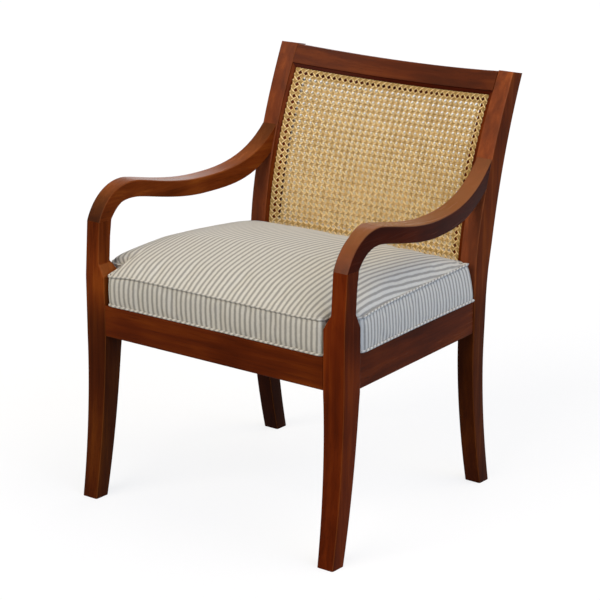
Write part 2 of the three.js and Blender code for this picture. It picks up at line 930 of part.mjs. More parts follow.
function cushionSideAt(y, rise) {
  const back = (y - cushionFront) / (cushionRear - cushionFront);
  return sideRailOuter(y) + cushionOverhang - cushionRearLean * rise * back;
}

function seamHeightAt(y) {
  const back = (y - cushionFront) / (cushionRear - cushionFront);
  return seamHeight + cushionSeamRise * back;
}

// The cushion's outline, notched round the front posts; offset moves every edge outwards.
function cushionOutline(offset, rise) {
  const notchX = notchSide + offset;
  const notchY = notchRear - offset;
  const rear = cushionRearAt(rise) + offset;
  const half = [
    { x: notchX, y: cushionFront - offset, radius: cushionCornerRadius, steps: 1 },
    { x: notchX, y: notchY, radius: cushionNotchRadius - offset, steps: 1 },
    { x: cushionSideAt(notchY, rise) + offset, y: notchY, radius: cushionCornerRadius, steps: cushionEdgeSteps },
    { x: cushionSideAt(rear, rise) + offset, y: rear, radius: cushionRearRadius, steps: cushionEdgeSteps },
  ];
  const otherHalf = half.map(({ x, y, radius }, i) => {
    return { x: -x, y, radius, steps: half[(i + half.length - 1) % half.length].steps };
  });
  otherHalf[0].steps = cushionEdgeSteps;
  const corners = [...half, ...otherHalf.reverse()];
  const arcs = corners.map((corner, i) => {
    const here = new THREE.Vector2(corner.x, corner.y);
    const before = corners[(i + corners.length - 1) % corners.length];
    const after = corners[(i + 1) % corners.length];
    const back = new THREE.Vector2(before.x, before.y).sub(here).normalize();
    const onward = new THREE.Vector2(after.x, after.y).sub(here).normalize();
    const reach = Math.max(corner.radius, pipingRadius);
    const start = here.clone().addScaledVector(back, reach);
    const end = here.clone().addScaledVector(onward, reach);
    return new THREE.QuadraticBezierCurve(start, here, end);
  });
  return arcs.flatMap((arc, i) => {
    const next = arcs[(i + 1) % arcs.length];
    const steps = corners[i].steps;
    const along = next.v0.clone().sub(arc.v2).normalize();
    const edge = spread(0, 1, steps).slice(1, -1).map((share) => {
      const draw = cushionDrawIn * Math.sin(Math.PI * share);
      return arc.v2.clone().lerp(next.v0, share).add(new THREE.Vector2(-along.y * draw, along.x * draw));
    });
    return [...arc.getPoints(cushionCornerSteps), ...edge];
  });
}

function fall(share, [power, root]) {
  return Math.max(0, 1 - share ** power) ** root;
}

// How far the cover rises above the top seam: a dome that falls to the seams and round the posts.
function crownAbove(x, y) {
  const share = (y - cushionFront) / (cushionRearAt(1) - cushionFront);
  const along = share < crownPeakShare
    ? fall((crownPeakShare - share) / crownPeakShare, crownFrontShares)
    : fall((share - crownPeakShare) / (1 - crownPeakShare), crownRearShares);
  const across = fall(Math.min(1, Math.abs(x) / cushionSideAt(y, 1)), crownSideShares);
  const fromPost = Math.hypot(Math.max(0, notchSide - Math.abs(x)), Math.max(0, y - notchRear));
  return crownRise * along * across * (1 - Math.exp(-fromPost / crownNotchEase));
}

function buildCushion() {
  const boxingMiddle = cushionSeamHeight / 2;
  const levels = [
    [-seamPinch, 0],
    [-seamPinch, pipingRadius],
    [0, pipingRadius + seamHalfWidth],
    [boxingBulge, boxingMiddle],
    [0, cushionSeamHeight - seamHalfWidth - pieceGap],
    [-seamPinch, cushionSeamHeight - pieceGap],
    [0, cushionSeamHeight + seamHalfWidth - pieceGap],
  ];
  const outlines = levels.map(([offset, climb]) => {
    return cushionOutline(offset, Math.min(1, climb / cushionSeamHeight));
  });
  const rings = levels.map(([, climb], i) => outlines[i].map((point) => {
    const rise = seamHeightAt(point.y) - seamHeight;
    return new THREE.Vector3(point.x, point.y, cushionBottom + climb + (rise * climb) / cushionSeamHeight);
  }));
  const brim = outlines[outlines.length - 1];
  const centre = new THREE.Vector2(0, (cushionFront + cushionRear) / 2);
  for (const share of crownRingShares) {
    const outline = brim.map((point) => point.clone().lerp(centre, share));
    outlines.push(outline);
    rings.push(outline.map(({ x, y }) => {
      return new THREE.Vector3(x, y, seamHeightAt(y) + seamHalfWidth + crownAbove(x, y));
    }));
  }
  return loft(outlines, rings);
}

// A closed line of piping that follows the cushion's outline at the foot or along the top seam.
function piping(rise) {
  const path = cushionOutline(pipingStand, rise).map(({ x, y }) => {
    return new THREE.Vector3(x, y, rise === 0 ? lowerPipingHeight : seamHeightAt(y));
  });
  const count = path.length;
  const points = [];
  const triangles = [];
  path.forEach((point, i) => {
    const along = path[(i + 1) % count].clone().sub(path[(i + count - 1) % count]).normalize();
    const outward = new THREE.Vector3(along.y, -along.x, 0);
    for (let k = 0; k < pipingSides; k++) {
      const angle = (2 * Math.PI * k) / pipingSides;
      const place = point.clone().addScaledVector(outward, pipingRadius * Math.cos(angle));
      place.z += pipingRadius * Math.sin(angle);
      points.push(place);
    }
  });
  for (let i = 0; i < count; i++) {
    for (let k = 0; k < pipingSides; k++) {
      const a = i * pipingSides + k;
      const b = i * pipingSides + ((k + 1) % pipingSides);
      const c = ((i + 1) % count) * pipingSides + ((k + 1) % pipingSides);
      const d = ((i + 1) % count) * pipingSides + k;
      triangles.push([a, b, c], [a, c, d]);
    }
  }
  return solidFrom(points, triangles);
}

// Assembly

addPair('front_leg', cut(frontLegBlank(), [
  frontRailTenon(pieceGap),
  sideTenonsInFrontLeg(pieceGap),
  ...postDowelHoles,
]), mahogany);

addPair('rear_leg', cut(rearLegBlank(0, 0), [
  rearRailTenon(pieceGap),
  sideTenonsInRearLeg(pieceGap),
  crestTenon(pieceGap),
  lowerTenon(pieceGap),
  ...stileDowelHoles,
]), mahogany);

addPair('arm', cut(buildArmBlank(), [
  rearLegBlank(pieceGap, cutOverrun),
  ...postDowelHoles,
  ...stileDowelHoles,
]), mahogany);

addPiece('crest_rail', joined(
  backRail(crestBottom, overallHeight, crestThickness),
  [crestTenon(0), mirrored(crestTenon(0))],
), mahogany);
addPiece('lower_back_rail', joined(
  backRail(lowerRailBottom, lowerRailTop, lowerRailThickness),
  [lowerTenon(0), mirrored(lowerTenon(0))],
), mahogany);

const frontRailHoles = [screwHole(frontCorner.inRail, blockScrewLength)];
const rearRailHoles = [screwHole(rearCorner.inRail, blockScrewLength)];
const sideRailHoles = Object.values(corners).map((corner) => screwHole(corner.inSide, blockScrewLength));
addPiece('front_seat_rail', cut(
  crossRail(frontLegInner - pieceGap, frontRailFace, frontRailBottom, frontRailTenon(0)),
  [...frontRailHoles, ...frontRailHoles.map(mirrored)],
), mahogany);
addPiece('rear_seat_rail', cut(
  crossRail(rearLegInner - pieceGap, rearRailFront, sideRailBottom, rearRailTenon(0)),
  [...rearRailHoles, ...rearRailHoles.map(mirrored)],
), mahogany);
addPair('side_seat_rail', cut(buildSideRail(), sideRailHoles), mahogany);

addPair('cane_frame_side', panelSideMember(), mahogany);
addPiece('cane_frame_top', panelCrossMember(true), mahogany);
addPiece('cane_frame_bottom', panelCrossMember(false), mahogany);
addPiece('cane_sheet_front', caneSheet(panelRecess), rattanCane);
addPiece('cane_sheet_rear', caneSheet(panelRecess + panelThickness - caneThickness), rattanCane);

postDowels(dowelRadius, 0).forEach((dowel, i) => addPair(`arm_post_dowel_${i + 1}`, dowel, innerWood));
stileDowels(dowelRadius, 0).forEach((dowel, i) => addPair(`arm_stile_dowel_${i + 1}`, dowel, innerWood));

for (const [end, corner] of Object.entries(corners)) {
  addPair(`corner_block_${end}`, cut(prism(corner.outline, blockBottom, blockTop), [
    screwHole(corner.inRail, blockScrewLength),
    screwHole(corner.inSide, blockScrewLength),
    screwHole(corner.inSeat, seatScrewLength),
  ]), innerWood);
  addPair(`block_screw_${end}_rail`, screwBody(corner.inRail, blockScrewLength), steel);
  addPair(`block_screw_${end}_side`, screwBody(corner.inSide, blockScrewLength), steel);
  addPair(`seat_screw_${end}`, screwBody(corner.inSeat, seatScrewLength), steel);
}

addPiece('seat_board', buildSeatBoard(), plywood);
addPiece('seat_cushion', buildCushion(), tickingCloth);
addPiece('piping_top', piping(1), tickingCloth);
addPiece('piping_bottom', piping(0), tickingCloth);

// The origin is on the floor, below the middle of the chair's own box.
const bounds = new THREE.Box3().setFromObject(chair);
chair.position.y = -(bounds.min.y + bounds.max.y) / 2;
chair.updateMatrixWorld(true);

export default chair;
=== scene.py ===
# %% [markdown]
# # A caned planter's armchair
# The chair is a stained mahogany frame with sawn S-shaped arms and raked stiles. Its bowed back
# is caned on both faces, and its boxed seat is covered in ticking, with piping along the seams.
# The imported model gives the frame: every solid is already in its place, in metres, so each new
# piece is worked out from those solids and rides on them.

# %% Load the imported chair
import json
import math

import bmesh
import bpy
import numpy as np
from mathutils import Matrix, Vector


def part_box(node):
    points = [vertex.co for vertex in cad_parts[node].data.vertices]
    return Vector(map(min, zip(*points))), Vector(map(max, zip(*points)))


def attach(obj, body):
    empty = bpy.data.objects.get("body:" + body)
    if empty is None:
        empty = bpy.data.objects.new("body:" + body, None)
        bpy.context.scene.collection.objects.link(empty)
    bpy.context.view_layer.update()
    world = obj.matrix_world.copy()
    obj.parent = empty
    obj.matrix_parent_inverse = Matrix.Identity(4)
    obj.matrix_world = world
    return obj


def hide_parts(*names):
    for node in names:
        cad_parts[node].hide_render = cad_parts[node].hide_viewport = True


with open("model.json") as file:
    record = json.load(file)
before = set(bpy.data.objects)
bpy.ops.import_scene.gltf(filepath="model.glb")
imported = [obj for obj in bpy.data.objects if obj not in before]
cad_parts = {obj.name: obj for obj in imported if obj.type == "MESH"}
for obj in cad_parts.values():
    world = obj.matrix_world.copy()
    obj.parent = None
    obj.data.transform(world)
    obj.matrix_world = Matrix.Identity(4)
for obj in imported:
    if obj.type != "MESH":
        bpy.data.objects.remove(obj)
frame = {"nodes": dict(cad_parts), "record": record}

MM = 0.001
BODY = "root"
for start_up in ("Cube", "Light", "Camera"):
    if start_up in bpy.data.objects:
        bpy.data.objects.remove(bpy.data.objects[start_up])
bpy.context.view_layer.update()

# %% [markdown]
# ## The camera
# A product photograph is taken from far away with a long lens, so that the chair keeps its true
# proportions. The place, the two angles and the focal length were worked out from the chair's
# straight edges, with the picture's centre as the centre of the lens.

# %% Camera
CAMERA_PLACE = (2.63675, -3.43209, 1.68978)
CAMERA_YAW = 37.773
CAMERA_PITCH = 16.627
FOCAL_PIXELS = 2210.87
PHOTO_PIXELS = 600
SENSOR_WIDTH = 36.0

camera_data = bpy.data.cameras.new("camera")
camera_data.sensor_width = SENSOR_WIDTH
camera_data.lens = SENSOR_WIDTH * FOCAL_PIXELS / PHOTO_PIXELS
camera = bpy.data.objects.new("camera", camera_data)
camera.location = CAMERA_PLACE
camera.rotation_euler = (math.radians(90 - CAMERA_PITCH), 0, math.radians(CAMERA_YAW))
bpy.context.scene.collection.objects.link(camera)
bpy.context.scene.camera = camera
print("lens", round(camera_data.lens, 1), "mm")

# %% [markdown]
# ## Tools for shapes
# A surface here is a grid of points worked out with numpy as one array. These helpers join the
# neighbouring points into quads, turn the arrays into a mesh and let the piece ride on the chair.

# %% Grids, meshes and pieces


def corners_of(grid):
    """The four corners of each cell of a grid of point numbers or places."""
    return np.stack([grid[:-1, :-1], grid[:-1, 1:], grid[1:, 1:], grid[1:, :-1]], axis=2)


def grid_quads(rows, columns, closed_rows=False, closed_columns=False):
    """Quads between neighbours of a grid; closed means that the last one joins the first."""
    index = np.arange(rows * columns).reshape(rows, columns)
    if closed_columns:
        index = np.concatenate([index, index[:, :1]], axis=1)
    if closed_rows:
        index = np.concatenate([index, index[:1]], axis=0)
    return corners_of(index).reshape(-1, 4)


def mesh_from(name, points, quads):
    """A smooth-shaded mesh from points in millimetres and quads of point numbers."""
    mesh = bpy.data.meshes.new(name)
    mesh.vertices.add(len(points))
    mesh.vertices.foreach_set("co", (points * MM).astype(np.float32).ravel())
    mesh.loops.add(quads.size)
    mesh.loops.foreach_set("vertex_index", quads.astype(np.int32).ravel())
    mesh.polygons.add(len(quads))
    mesh.polygons.foreach_set("loop_start", np.arange(0, quads.size, 4, dtype=np.int32))
    mesh.update(calc_edges=True)
    mesh.shade_smooth()
    return mesh


def add_uv(mesh, quads, uv):
    """Gives each corner of each quad its place on the cloth or strand, in metres."""
    layer = mesh.uv_layers.new(name="cloth")
    per_corner = uv if len(uv) == quads.size else uv[quads.ravel()]
    layer.data.foreach_set("uv", (per_corner * MM).astype(np.float32).ravel())


def add_attribute(mesh, name, values):
    """Gives each point a number that the material reads."""
    layer = mesh.attributes.new(name, "FLOAT", "POINT")
    layer.data.foreach_set("value", values.astype(np.float32))


def add_piece(name, mesh, material, stands_for):
    """Puts a mesh into the scene as a piece of the chair that stands for CAD nodes."""
    piece = bpy.data.objects.new(name, mesh)
    bpy.context.scene.collection.objects.link(piece)
    mesh.materials.clear()
    mesh.materials.append(material)
    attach(piece, BODY)
    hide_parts(*stands_for)
    return piece


def read_mesh(mesh, key="co"):
    """The places or the normals of a mesh's points, as rows of three numbers."""
    values = np.empty(len(mesh.vertices) * 3, np.float32)
    mesh.vertices.foreach_get(key, values)
    return values.reshape(-1, 3)


def points_of(node):
    """The different corner points of a CAD solid, in millimetres."""
    return np.unique(np.round(read_mesh(frame["nodes"][node].data) / MM, 2), axis=0)


def box_of(node):
    """Lowest and highest corner of a CAD solid, in millimetres."""
    return [np.array(corner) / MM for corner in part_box(node)]


def unit(vectors):
    """The same directions with length 1."""
    return vectors / np.linalg.norm(vectors, axis=-1, keepdims=True)


def run_along(points):
    """The way along each line of points from its start: the lengths of its steps added up."""
    steps = np.linalg.norm(np.diff(points, axis=-2), axis=-1)
    return np.concatenate([np.zeros_like(steps[..., :1]), np.cumsum(steps, axis=-1)], axis=-1)


# %% [markdown]
# ## Tools for materials
# Colours are picked as sRGB hex values, as a designer reads them from a swatch. The renderer
# works in linear light, so one function converts them. Another adds a shader node with its
# settings and links, and every material below is a chain of such nodes. Inputs have names or
# numbers, or they are a list in the node's own order.

# %% Colours and shader nodes
SRGB_KNEE = 0.04045


def linear(hex_colour):
    """An sRGB colour such as #7a3d12 as linear red, green, blue and alpha."""
    parts = [int(hex_colour[i:i + 2], 16) / 255 for i in (1, 3, 5)]
    light = [c / 12.92 if c <= SRGB_KNEE else ((c + 0.055) / 1.055) ** 2.4 for c in parts]
    return (*light, 1.0)


def add(tree, kind, inputs=(), stops=(), **settings):
    """Adds a shader node. An input is a value, a hex colour, a socket, or a node that feeds it."""
    node = tree.nodes.new("ShaderNode" + kind)
    for key, value in settings.items():
        setattr(node, key, value)
    for number, (position, colour) in enumerate(stops):
        elements = node.color_ramp.elements
        element = elements[number] if number < len(elements) else elements.new(1.0)
        element.position = position
        element.color = linear(colour) if isinstance(colour, str) else colour
    for key, value in inputs.items() if isinstance(inputs, dict) else enumerate(inputs):
        if isinstance(value, bpy.types.Node):
            value = value.outputs[0]
        if isinstance(value, bpy.types.NodeSocket):
            tree.links.new(value, node.inputs[key])
        else:
            node.inputs[key].default_value = linear(value) if isinstance(value, str) else value
    return node


def new_material(name):
    """An empty material and its node tree."""
    material = bpy.data.materials.new(name)
    material.use_nodes = True
    material.node_tree.nodes.clear()
    return material, material.node_tree


def finish_material(material, shader):
    """Links the shader to the material's output and gives the material back."""
    add(material.node_tree, "OutputMaterial", {"Surface": shader})
    return material


# %% [markdown]
# ## Stained mahogany under satin lacquer
# Mahogany is a reddish hardwood with long fine pores. A maker stains it, wipes a darker glaze
# into it and rubs a satin varnish on top. The eye sees long quiet streaks along each board, slow
# changes of depth where the glaze stayed, and a sheen only where a lamp is mirrored. A board's
# grain runs straight, also where an arm or a leg is sawn to a curve, so Object coordinates
# stretched along one axis are what the real wood has. Boards take stain differently, so each
# piece has its own tone. Light and shade are painted on top of that: each piece's tone is
# scaled by one factor below the seat and by another on its faces to the front, a pale painted
# sheen lies on its faces to the front and upwards, and its upper faces and eased edges are
# lightened, partly as wear and partly as a painted highlight. The varnish is thin, so its
# specular level is low.

# %% Mahogany
STREAK_WIDTH = 15.0
PORE_WIDTH = 2.0
GLAZE_PATCH = 80.0
STREAK_STRETCH = 0.05
PORE_STRETCH = 0.035
PATCH_STRETCH = 0.5
NOISE_RANGE = (0.3, 0.7)
PORE_RANGE = (0.56, 0.72)
PORE_SHARE = 0.4
PORE_DEPTH = 0.1
STAIN_STOPS = ((0.3, "#3d1202"), (0.5, "#5a2207"), (0.7, "#76350d"))
STAIN_POWERS = (1.0, 1.5, 1.6)
GLAZE = "#220a04"
# Colour laid on eased edges and upper faces: partly wear, partly a painted highlight.
WORN_EDGE_AND_HIGHLIGHT = "#a4622f"
# Pale colour of a painted sheen on the faces to the front and upwards.
PAINTED_SHEEN_COLOUR = "#d0bd9c"
SEAT_BAND = (0.36, 0.46)
FACING_FRONT = (0.3, 0.8)
FACING_UP = (0.35, 0.95)
EASED_EDGE = (0.7, 0.22)
EDGE_WEAR_AND_HIGHLIGHT = 0.14
VARNISH_LEVEL = 0.02
VARNISH_ROUGHNESS = (0.21, 0.3)


def stained(hex_colour, tone):
    """The colour of a board that took less stain: red grows with tone, green and blue faster."""
    colour = linear(hex_colour)
    return (*[light * tone ** power for light, power in zip(colour, STAIN_POWERS)], 1.0)


def mahogany(name, place, grain, tone, foot=1.0, top=0.0, front=1.0, painted_sheen=0.0):
    """Wood whose grain runs along an axis; tone above 1 is a board that took less stain.

    Foot scales the tone below the seat and front that of the faces to the front above it, both
    as painted light and shade. Top is how far the upper face is made pale, partly as wear and
    partly as a painted highlight, and the last argument how much of a pale painted sheen lies on
    the faces to the front and upwards above the seat.
    """
    material, tree = new_material(name)
    coords = add(tree, "TexCoord").outputs
    axis = "xyz".index(grain)

    def pattern(width, stretch, detail, roughness, distortion=0.0):
        """Noise of a width across the grain, drawn out along it."""
        scale = [1 / (width * MM)] * 3
        scale[axis] *= stretch
        placed = add(tree, "Mapping", {"Vector": coords["Object"], "Location": place, "Scale": scale})
        return add(tree, "TexNoise", {
            "Vector": placed, "Scale": 1.0, "Detail": detail, "Roughness": roughness,
            "Distortion": distortion,
        })

    streaks = pattern(STREAK_WIDTH, STREAK_STRETCH, 4.0, 0.55, 0.3)
    pores = pattern(PORE_WIDTH, PORE_STRETCH, 2.0, 0.7)
    patches = pattern(GLAZE_PATCH, PATCH_STRETCH, 2.0, 0.5)
    depth = add(tree, "Mix", {0: 0.5, 2: streaks, 3: patches})
    stain = add(tree, "ValToRGB", [depth], [
        (position, stained(colour, tone)) for position, colour in STAIN_STOPS
    ])
    # Painted light and shade: the tone is scaled by one factor below the seat and by another on the
    # faces to the front above it.
    height = add(tree, "SeparateXYZ", [coords["Object"]]).outputs["Z"]
    facing = add(tree, "SeparateXYZ", [coords["Normal"]]).outputs
    forward = add(tree, "Math", [facing["Y"], -1.0], operation="MULTIPLY")
    smooth = {"interpolation_type": "SMOOTHSTEP"}
    ahead = add(tree, "MapRange", [forward, *FACING_FRONT, 1.0, front], **smooth)
    painted_light_factor = add(tree, "MapRange", [height, *SEAT_BAND, foot, ahead], **smooth)
    colour = add(tree, "VectorMath", {0: stain, "Scale": painted_light_factor}, operation="SCALE")
    pored = add(tree, "MapRange", [pores, *PORE_RANGE, 0.0, PORE_SHARE])
    # Painted sheen: a pale colour laid on the faces to the front and upwards, above the seat.
    open_face = add(tree, "Math", [forward, facing["Z"]], operation="MAXIMUM")
    sheen_above_seat = add(tree, "MapRange", [height, *SEAT_BAND, 0.0, painted_sheen])
    shown = add(tree, "MapRange", [open_face, *FACING_FRONT, 0.0, sheen_above_seat])
    # Eased edges and upper faces made paler: partly wear, partly a painted highlight.
    across = add(tree, "Math", [facing["X"]], operation="ABSOLUTE")
    slanting = add(tree, "Math", [across, *EASED_EDGE], operation="COMPARE")
    edges = add(tree, "Math", [slanting, EDGE_WEAR_AND_HIGHLIGHT if axis else 0.0], operation="MULTIPLY")
    above = add(tree, "MapRange", [facing["Z"], *FACING_UP, 0.0, top])
    wear_and_highlight = add(tree, "Math", [edges, above], operation="MAXIMUM")
    for share, laid in ((pored, GLAZE), (shown, PAINTED_SHEEN_COLOUR), (wear_and_highlight, WORN_EDGE_AND_HIGHLIGHT)):
        colour = add(tree, "Mix", {0: share, 6: colour, 7: laid}, data_type="RGBA").outputs[2]
    gloss = add(tree, "MapRange", [streaks, *NOISE_RANGE, *VARNISH_ROUGHNESS])
    bump = add(tree, "Bump", {"Strength": PORE_DEPTH, "Distance": MM, "Height": pores})
    return finish_material(material, add(tree, "BsdfPrincipled", {
        "Base Color": colour, "Roughness": gloss, "Normal": bump,
        "IOR": 1.5, "Specular IOR Level": VARNISH_LEVEL,
    }))


# %% [markdown]
# ## The wooden members
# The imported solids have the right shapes, but each triangle is loose, so light breaks at every
# facet. A copy with its doubles merged is shaded smoothly, and weighted normals keep the broad
# faces flat while the eased edges turn softly. The solids stand 0.3 mm apart, where a real joint
# is filled with glue and varnish, so each copy swells by less than half of that.

# %% Smooth copies of the wooden solids
MERGE_DISTANCE = 0.01
SHARP_ANGLE = 52
JOINT_SWELL = 0.14


def smooth_copy(node, material):
    """A merged, smoothly shaded copy of a CAD solid: each point moves out along its normal."""
    shape = bmesh.new()
    shape.from_mesh(frame["nodes"][node].data)
    bmesh.ops.remove_doubles(shape, verts=shape.verts, dist=MERGE_DISTANCE * MM)
    mesh = bpy.data.meshes.new(node + "_smooth")
    shape.to_mesh(mesh)
    shape.free()
    for spare in ("custom_normal", "sharp_face", "sharp_edge"):
        if spare in mesh.attributes:
            mesh.attributes.remove(mesh.attributes[spare])
    swollen = read_mesh(mesh) + JOINT_SWELL * MM * read_mesh(mesh, "normal")
    mesh.vertices.foreach_set("co", swollen.ravel())
    mesh.shade_smooth()
    mesh.set_sharp_from_angle(angle=math.radians(SHARP_ANGLE))
    piece = add_piece(node + "_smooth", mesh, material, [node])
    piece.modifiers.new("weighted", "WEIGHTED_NORMAL").keep_sharp = True


# Each board's grain and tone, and where it has them its foot, top, front and sheen: foot and front scale
# the tone as painted light and shade, top is partly wear and partly a painted highlight, and sheen is a
# painted one.
BOARDS = {
    # Front legs: foot and front paint light and shade, and top pales the shoulder's upper face as a
    # painted highlight.
    "front_leg_left": ("z", 0.75, 1.4, 0.4, 1.8),
    "front_leg_right": ("z", 1.3, 0.5, 1.0, 1.2),
    # Rear legs: foot darkens them below the seat as painted shade, and front and sheen paint light on
    # the stiles' faces to the front.
    "rear_leg_left": ("z", 1.15, 0.58, 0.0, 1.7, 0.04),
    "rear_leg_right": ("z", 1.1, 0.24, 0.0, 1.5, 0.03),
    # Arms: front lightens or darkens the faces to the front as painted light and shade, and top pales
    # the upper faces partly as wear, partly as a painted highlight.
    "arm_left": ("y", 0.38, 1.0, 0.5, 2.2, 0.07),
    "arm_right": ("y", 1.35, 1.0, 0.2, 0.35, 0.01),
    "front_seat_rail": ("x", 0.95),
    "rear_seat_rail": ("x", 0.9),
    "side_seat_rail_left": ("y", 0.85),
    "side_seat_rail_right": ("y", 0.9),
    "crest_rail": ("x", 0.85, 1.0, 0.0, 1.0, 0.02),
    "lower_back_rail": ("x", 0.9),
    # The cane frame's top member is darkened as painted shade, and the bottom one gets a full painted
    # sheen on the faces seen between the sheets.
    "cane_frame_top": ("x", 0.5),
    "cane_frame_bottom": ("x", 0.8, 1.0, 0.0, 1.0, 1.0),
    "cane_frame_side_left": ("z", 1.0),
    "cane_frame_side_right": ("z", 1.2),
}
BOARD_SHIFT = (1.7, 2.3, 0.9)
for number, (node_name, board) in enumerate(BOARDS.items()):
    board_place = tuple(shift * number for shift in BOARD_SHIFT)
    smooth_copy(node_name, mahogany("mahogany_" + node_name, board_place, *board))
print("wooden members", len(BOARDS))

# %% [markdown]
# ## Bare wood, plywood and screws under the seat
# Corner blocks and dowels are left unstained. The seat board is birch plywood, whose thin
# veneers show as lines on its edge. The screws are steel with a thin zinc plating, which leaves
# a pale, slightly uneven sheen. These solids keep their shapes and only get a finish.

# %% Hidden materials
FIBRE_SIZE = (40.0, 2.5, 2.5)
VENEER_THICKNESS = 1.5
ZINC_GRIT = 1.2


def bare_wood(name, dark, light, veneers=False):
    """Planed wood without stain; veneers adds the lines of plywood on its edges."""
    material, tree = new_material(name)
    place = add(tree, "TexCoord").outputs["Object"]
    scale = [1 / (size * MM) for size in FIBRE_SIZE]
    fibres = add(tree, "Mapping", {"Vector": place, "Scale": scale})
    noise = add(tree, "TexNoise", {"Vector": fibres, "Scale": 1.0, "Detail": 4.0})
    share = noise
    if veneers:
        height = add(tree, "SeparateXYZ", [place]).outputs["Z"]
        layer = add(tree, "Math", [height, VENEER_THICKNESS * MM], operation="PINGPONG")
        line = add(tree, "Math", [layer, VENEER_THICKNESS * MM], operation="DIVIDE")
        share = add(tree, "Math", [line, noise], operation="MULTIPLY")
    colour = add(tree, "ValToRGB", [share], [(0.2, dark), (0.7, light)])
    bump = add(tree, "Bump", {"Strength": 0.2, "Distance": MM, "Height": noise})
    return finish_material(material, add(tree, "BsdfPrincipled", {
        "Base Color": colour, "Roughness": 0.68, "Normal": bump,
    }))


def zinc_plate():
    """Zinc-plated steel: a pale metal with a fine unevenness."""
    material, tree = new_material("zinc_plated_steel")
    place = add(tree, "TexCoord").outputs["Object"]
    grit = add(tree, "TexNoise", {"Vector": place, "Scale": 1 / (ZINC_GRIT * MM), "Detail": 3.0})
    colour = add(tree, "ValToRGB", [grit], [(0.3, "#8f8d86"), (0.7, "#b9b7b0")])
    rough = add(tree, "MapRange", {"Value": grit, "To Min": 0.28, "To Max": 0.5})
    return finish_material(material, add(tree, "BsdfPrincipled", {
        "Base Color": colour, "Roughness": rough, "Metallic": 1.0,
    }))


hidden_finishes = {
    "inner_wood": bare_wood("planed_beech", "#8d6a44", "#c49d6c"),
    "plywood": bare_wood("birch_plywood", "#a98556", "#d2b483", veneers=True),
    "steel": zinc_plate(),
}
for part in frame["record"]["subparts"]:
    if part["material_slot"] in hidden_finishes:
        node = frame["nodes"][part["node"]]
        node.material_slots[0].material = hidden_finishes[part["material_slot"]]
print("hidden finishes", list(hidden_finishes))

# %% [markdown]
# ## The surface of the back
# The back rises between the stiles. It leans back more and more with height, and it bows to the
# rear between its two sides. The same formula as the solids use gives any point of it from the
# distance across, the height and the depth behind the stiles' front faces.

# %% The back as a formula
REAR_FACE = box_of("rear_leg_left")[0][1]
TOTAL_HEIGHT = 860.0
SEAT_RAIL_TOP = box_of("front_seat_rail")[1][2]
BACK_RAKE = 115.5
RAKE_START = 460.0
RAKE_SPAN = 400.0
RAKE_POWER = 1.62
HALF_WIDTH_AT_FLOOR = 288.0
HALF_WIDTH_AT_TOP = 295.5
STILE_WIDTH = 39.5
BOW_AT_TOP = 28.0
BOW_AT_SEAT = 14.0
TOE = 7.0
TOE_START = 640.0
TOP_CUT = 0.21
PIECE_GAP = 0.3
PANEL_MARGIN = 7.0
PANEL_RECESS = 3.0
PANEL_THICKNESS = 18.0
SHEET_THICKNESS = 2.2


def stile_inner(height):
    """Half the opening between the stiles, which spread a little with height."""
    spread = (HALF_WIDTH_AT_TOP - HALF_WIDTH_AT_FLOOR) * height / TOTAL_HEIGHT
    return HALF_WIDTH_AT_FLOOR + spread - STILE_WIDTH


def back_point(x, height, depth):
    """The stiles' front line, plus the bow along the surface's normal, plus the depth."""
    rake = np.clip((height - RAKE_START) / RAKE_SPAN, 0, None)
    line = REAR_FACE + BACK_RAKE * rake ** RAKE_POWER
    slope = BACK_RAKE * RAKE_POWER / RAKE_SPAN * rake ** (RAKE_POWER - 1)
    climb = (height - SEAT_RAIL_TOP) / (TOTAL_HEIGHT - SEAT_RAIL_TOP)
    toe = TOE * np.clip((height - TOE_START) / (TOTAL_HEIGHT - TOE_START), 0, None) ** 2
    across = np.clip(np.abs(x) / stile_inner(height), 0, 1)
    bow = toe + (BOW_AT_SEAT + (BOW_AT_TOP - BOW_AT_SEAT) * climb) * (1 - across ** 2)
    length = np.hypot(1, slope)
    tilt = TOP_CUT * rake
    tilt_length = np.hypot(1, tilt)
    y = line + bow / length + depth / tilt_length
    z = height - slope * bow / length - tilt * depth / tilt_length
    return np.stack(np.broadcast_arrays(x, y, z), axis=-1)


print("top of the back", back_point(0.0, TOTAL_HEIGHT, 0.0).round(1))


# %% [markdown]
# ## The cane webbing
# Rattan cane is the glossy skin of a climbing palm, split into strands about 2.4 mm wide. In the
# six-way pattern, pairs of upright strands cross pairs of level ones every 13 mm or so, and two
# sets of diagonals pass between them, so each opening becomes an octagon. One diagonal goes over
# the uprights and under the level pairs, and the other does the reverse. Both faces of this back
# are caned, and the light that comes through both sheets makes the cloudy look of the middle.
# Only real strands can do that, so each one is a thin bar carried along its own waving line.

# %% The weave's lines
PITCH_ACROSS = 13.75
PITCH_DOWN = 12.95
PAIR_OFFSET = 1.45
STRAND_WIDTH = 2.4
STRAND_THICKNESS = 0.75
WEAVE_LIFT = 0.4
DIAGONAL_LIFT = 0.85
SIDE_TO_HOLE = 12.8
TOP_TO_HOLE = 10.4
STEPS_PER_CELL = 5
END_DIP = 0.9
END_RUN = 1.6
REAR_SHIFT = (0.6, -2.2)
BORDER_PAIR = 0.33
SHORTEST_SLANT = 0.4
LOWER_RAIL_TOP = 474.0
CREST_DEPTH = 39.0
PROFILE_STEPS = 400

sheet_corner = PANEL_MARGIN + 2 * PIECE_GAP
sheet_low = LOWER_RAIL_TOP + sheet_corner
sheet_high = TOTAL_HEIGHT - CREST_DEPTH - sheet_corner
sheet_half = stile_inner((sheet_low + sheet_high) / 2) - sheet_corner

profile_heights = np.linspace(sheet_high, sheet_low, PROFILE_STEPS)
profile_run = run_along(back_point(0.0, profile_heights, PANEL_RECESS))
sheet_length = profile_run[-1]


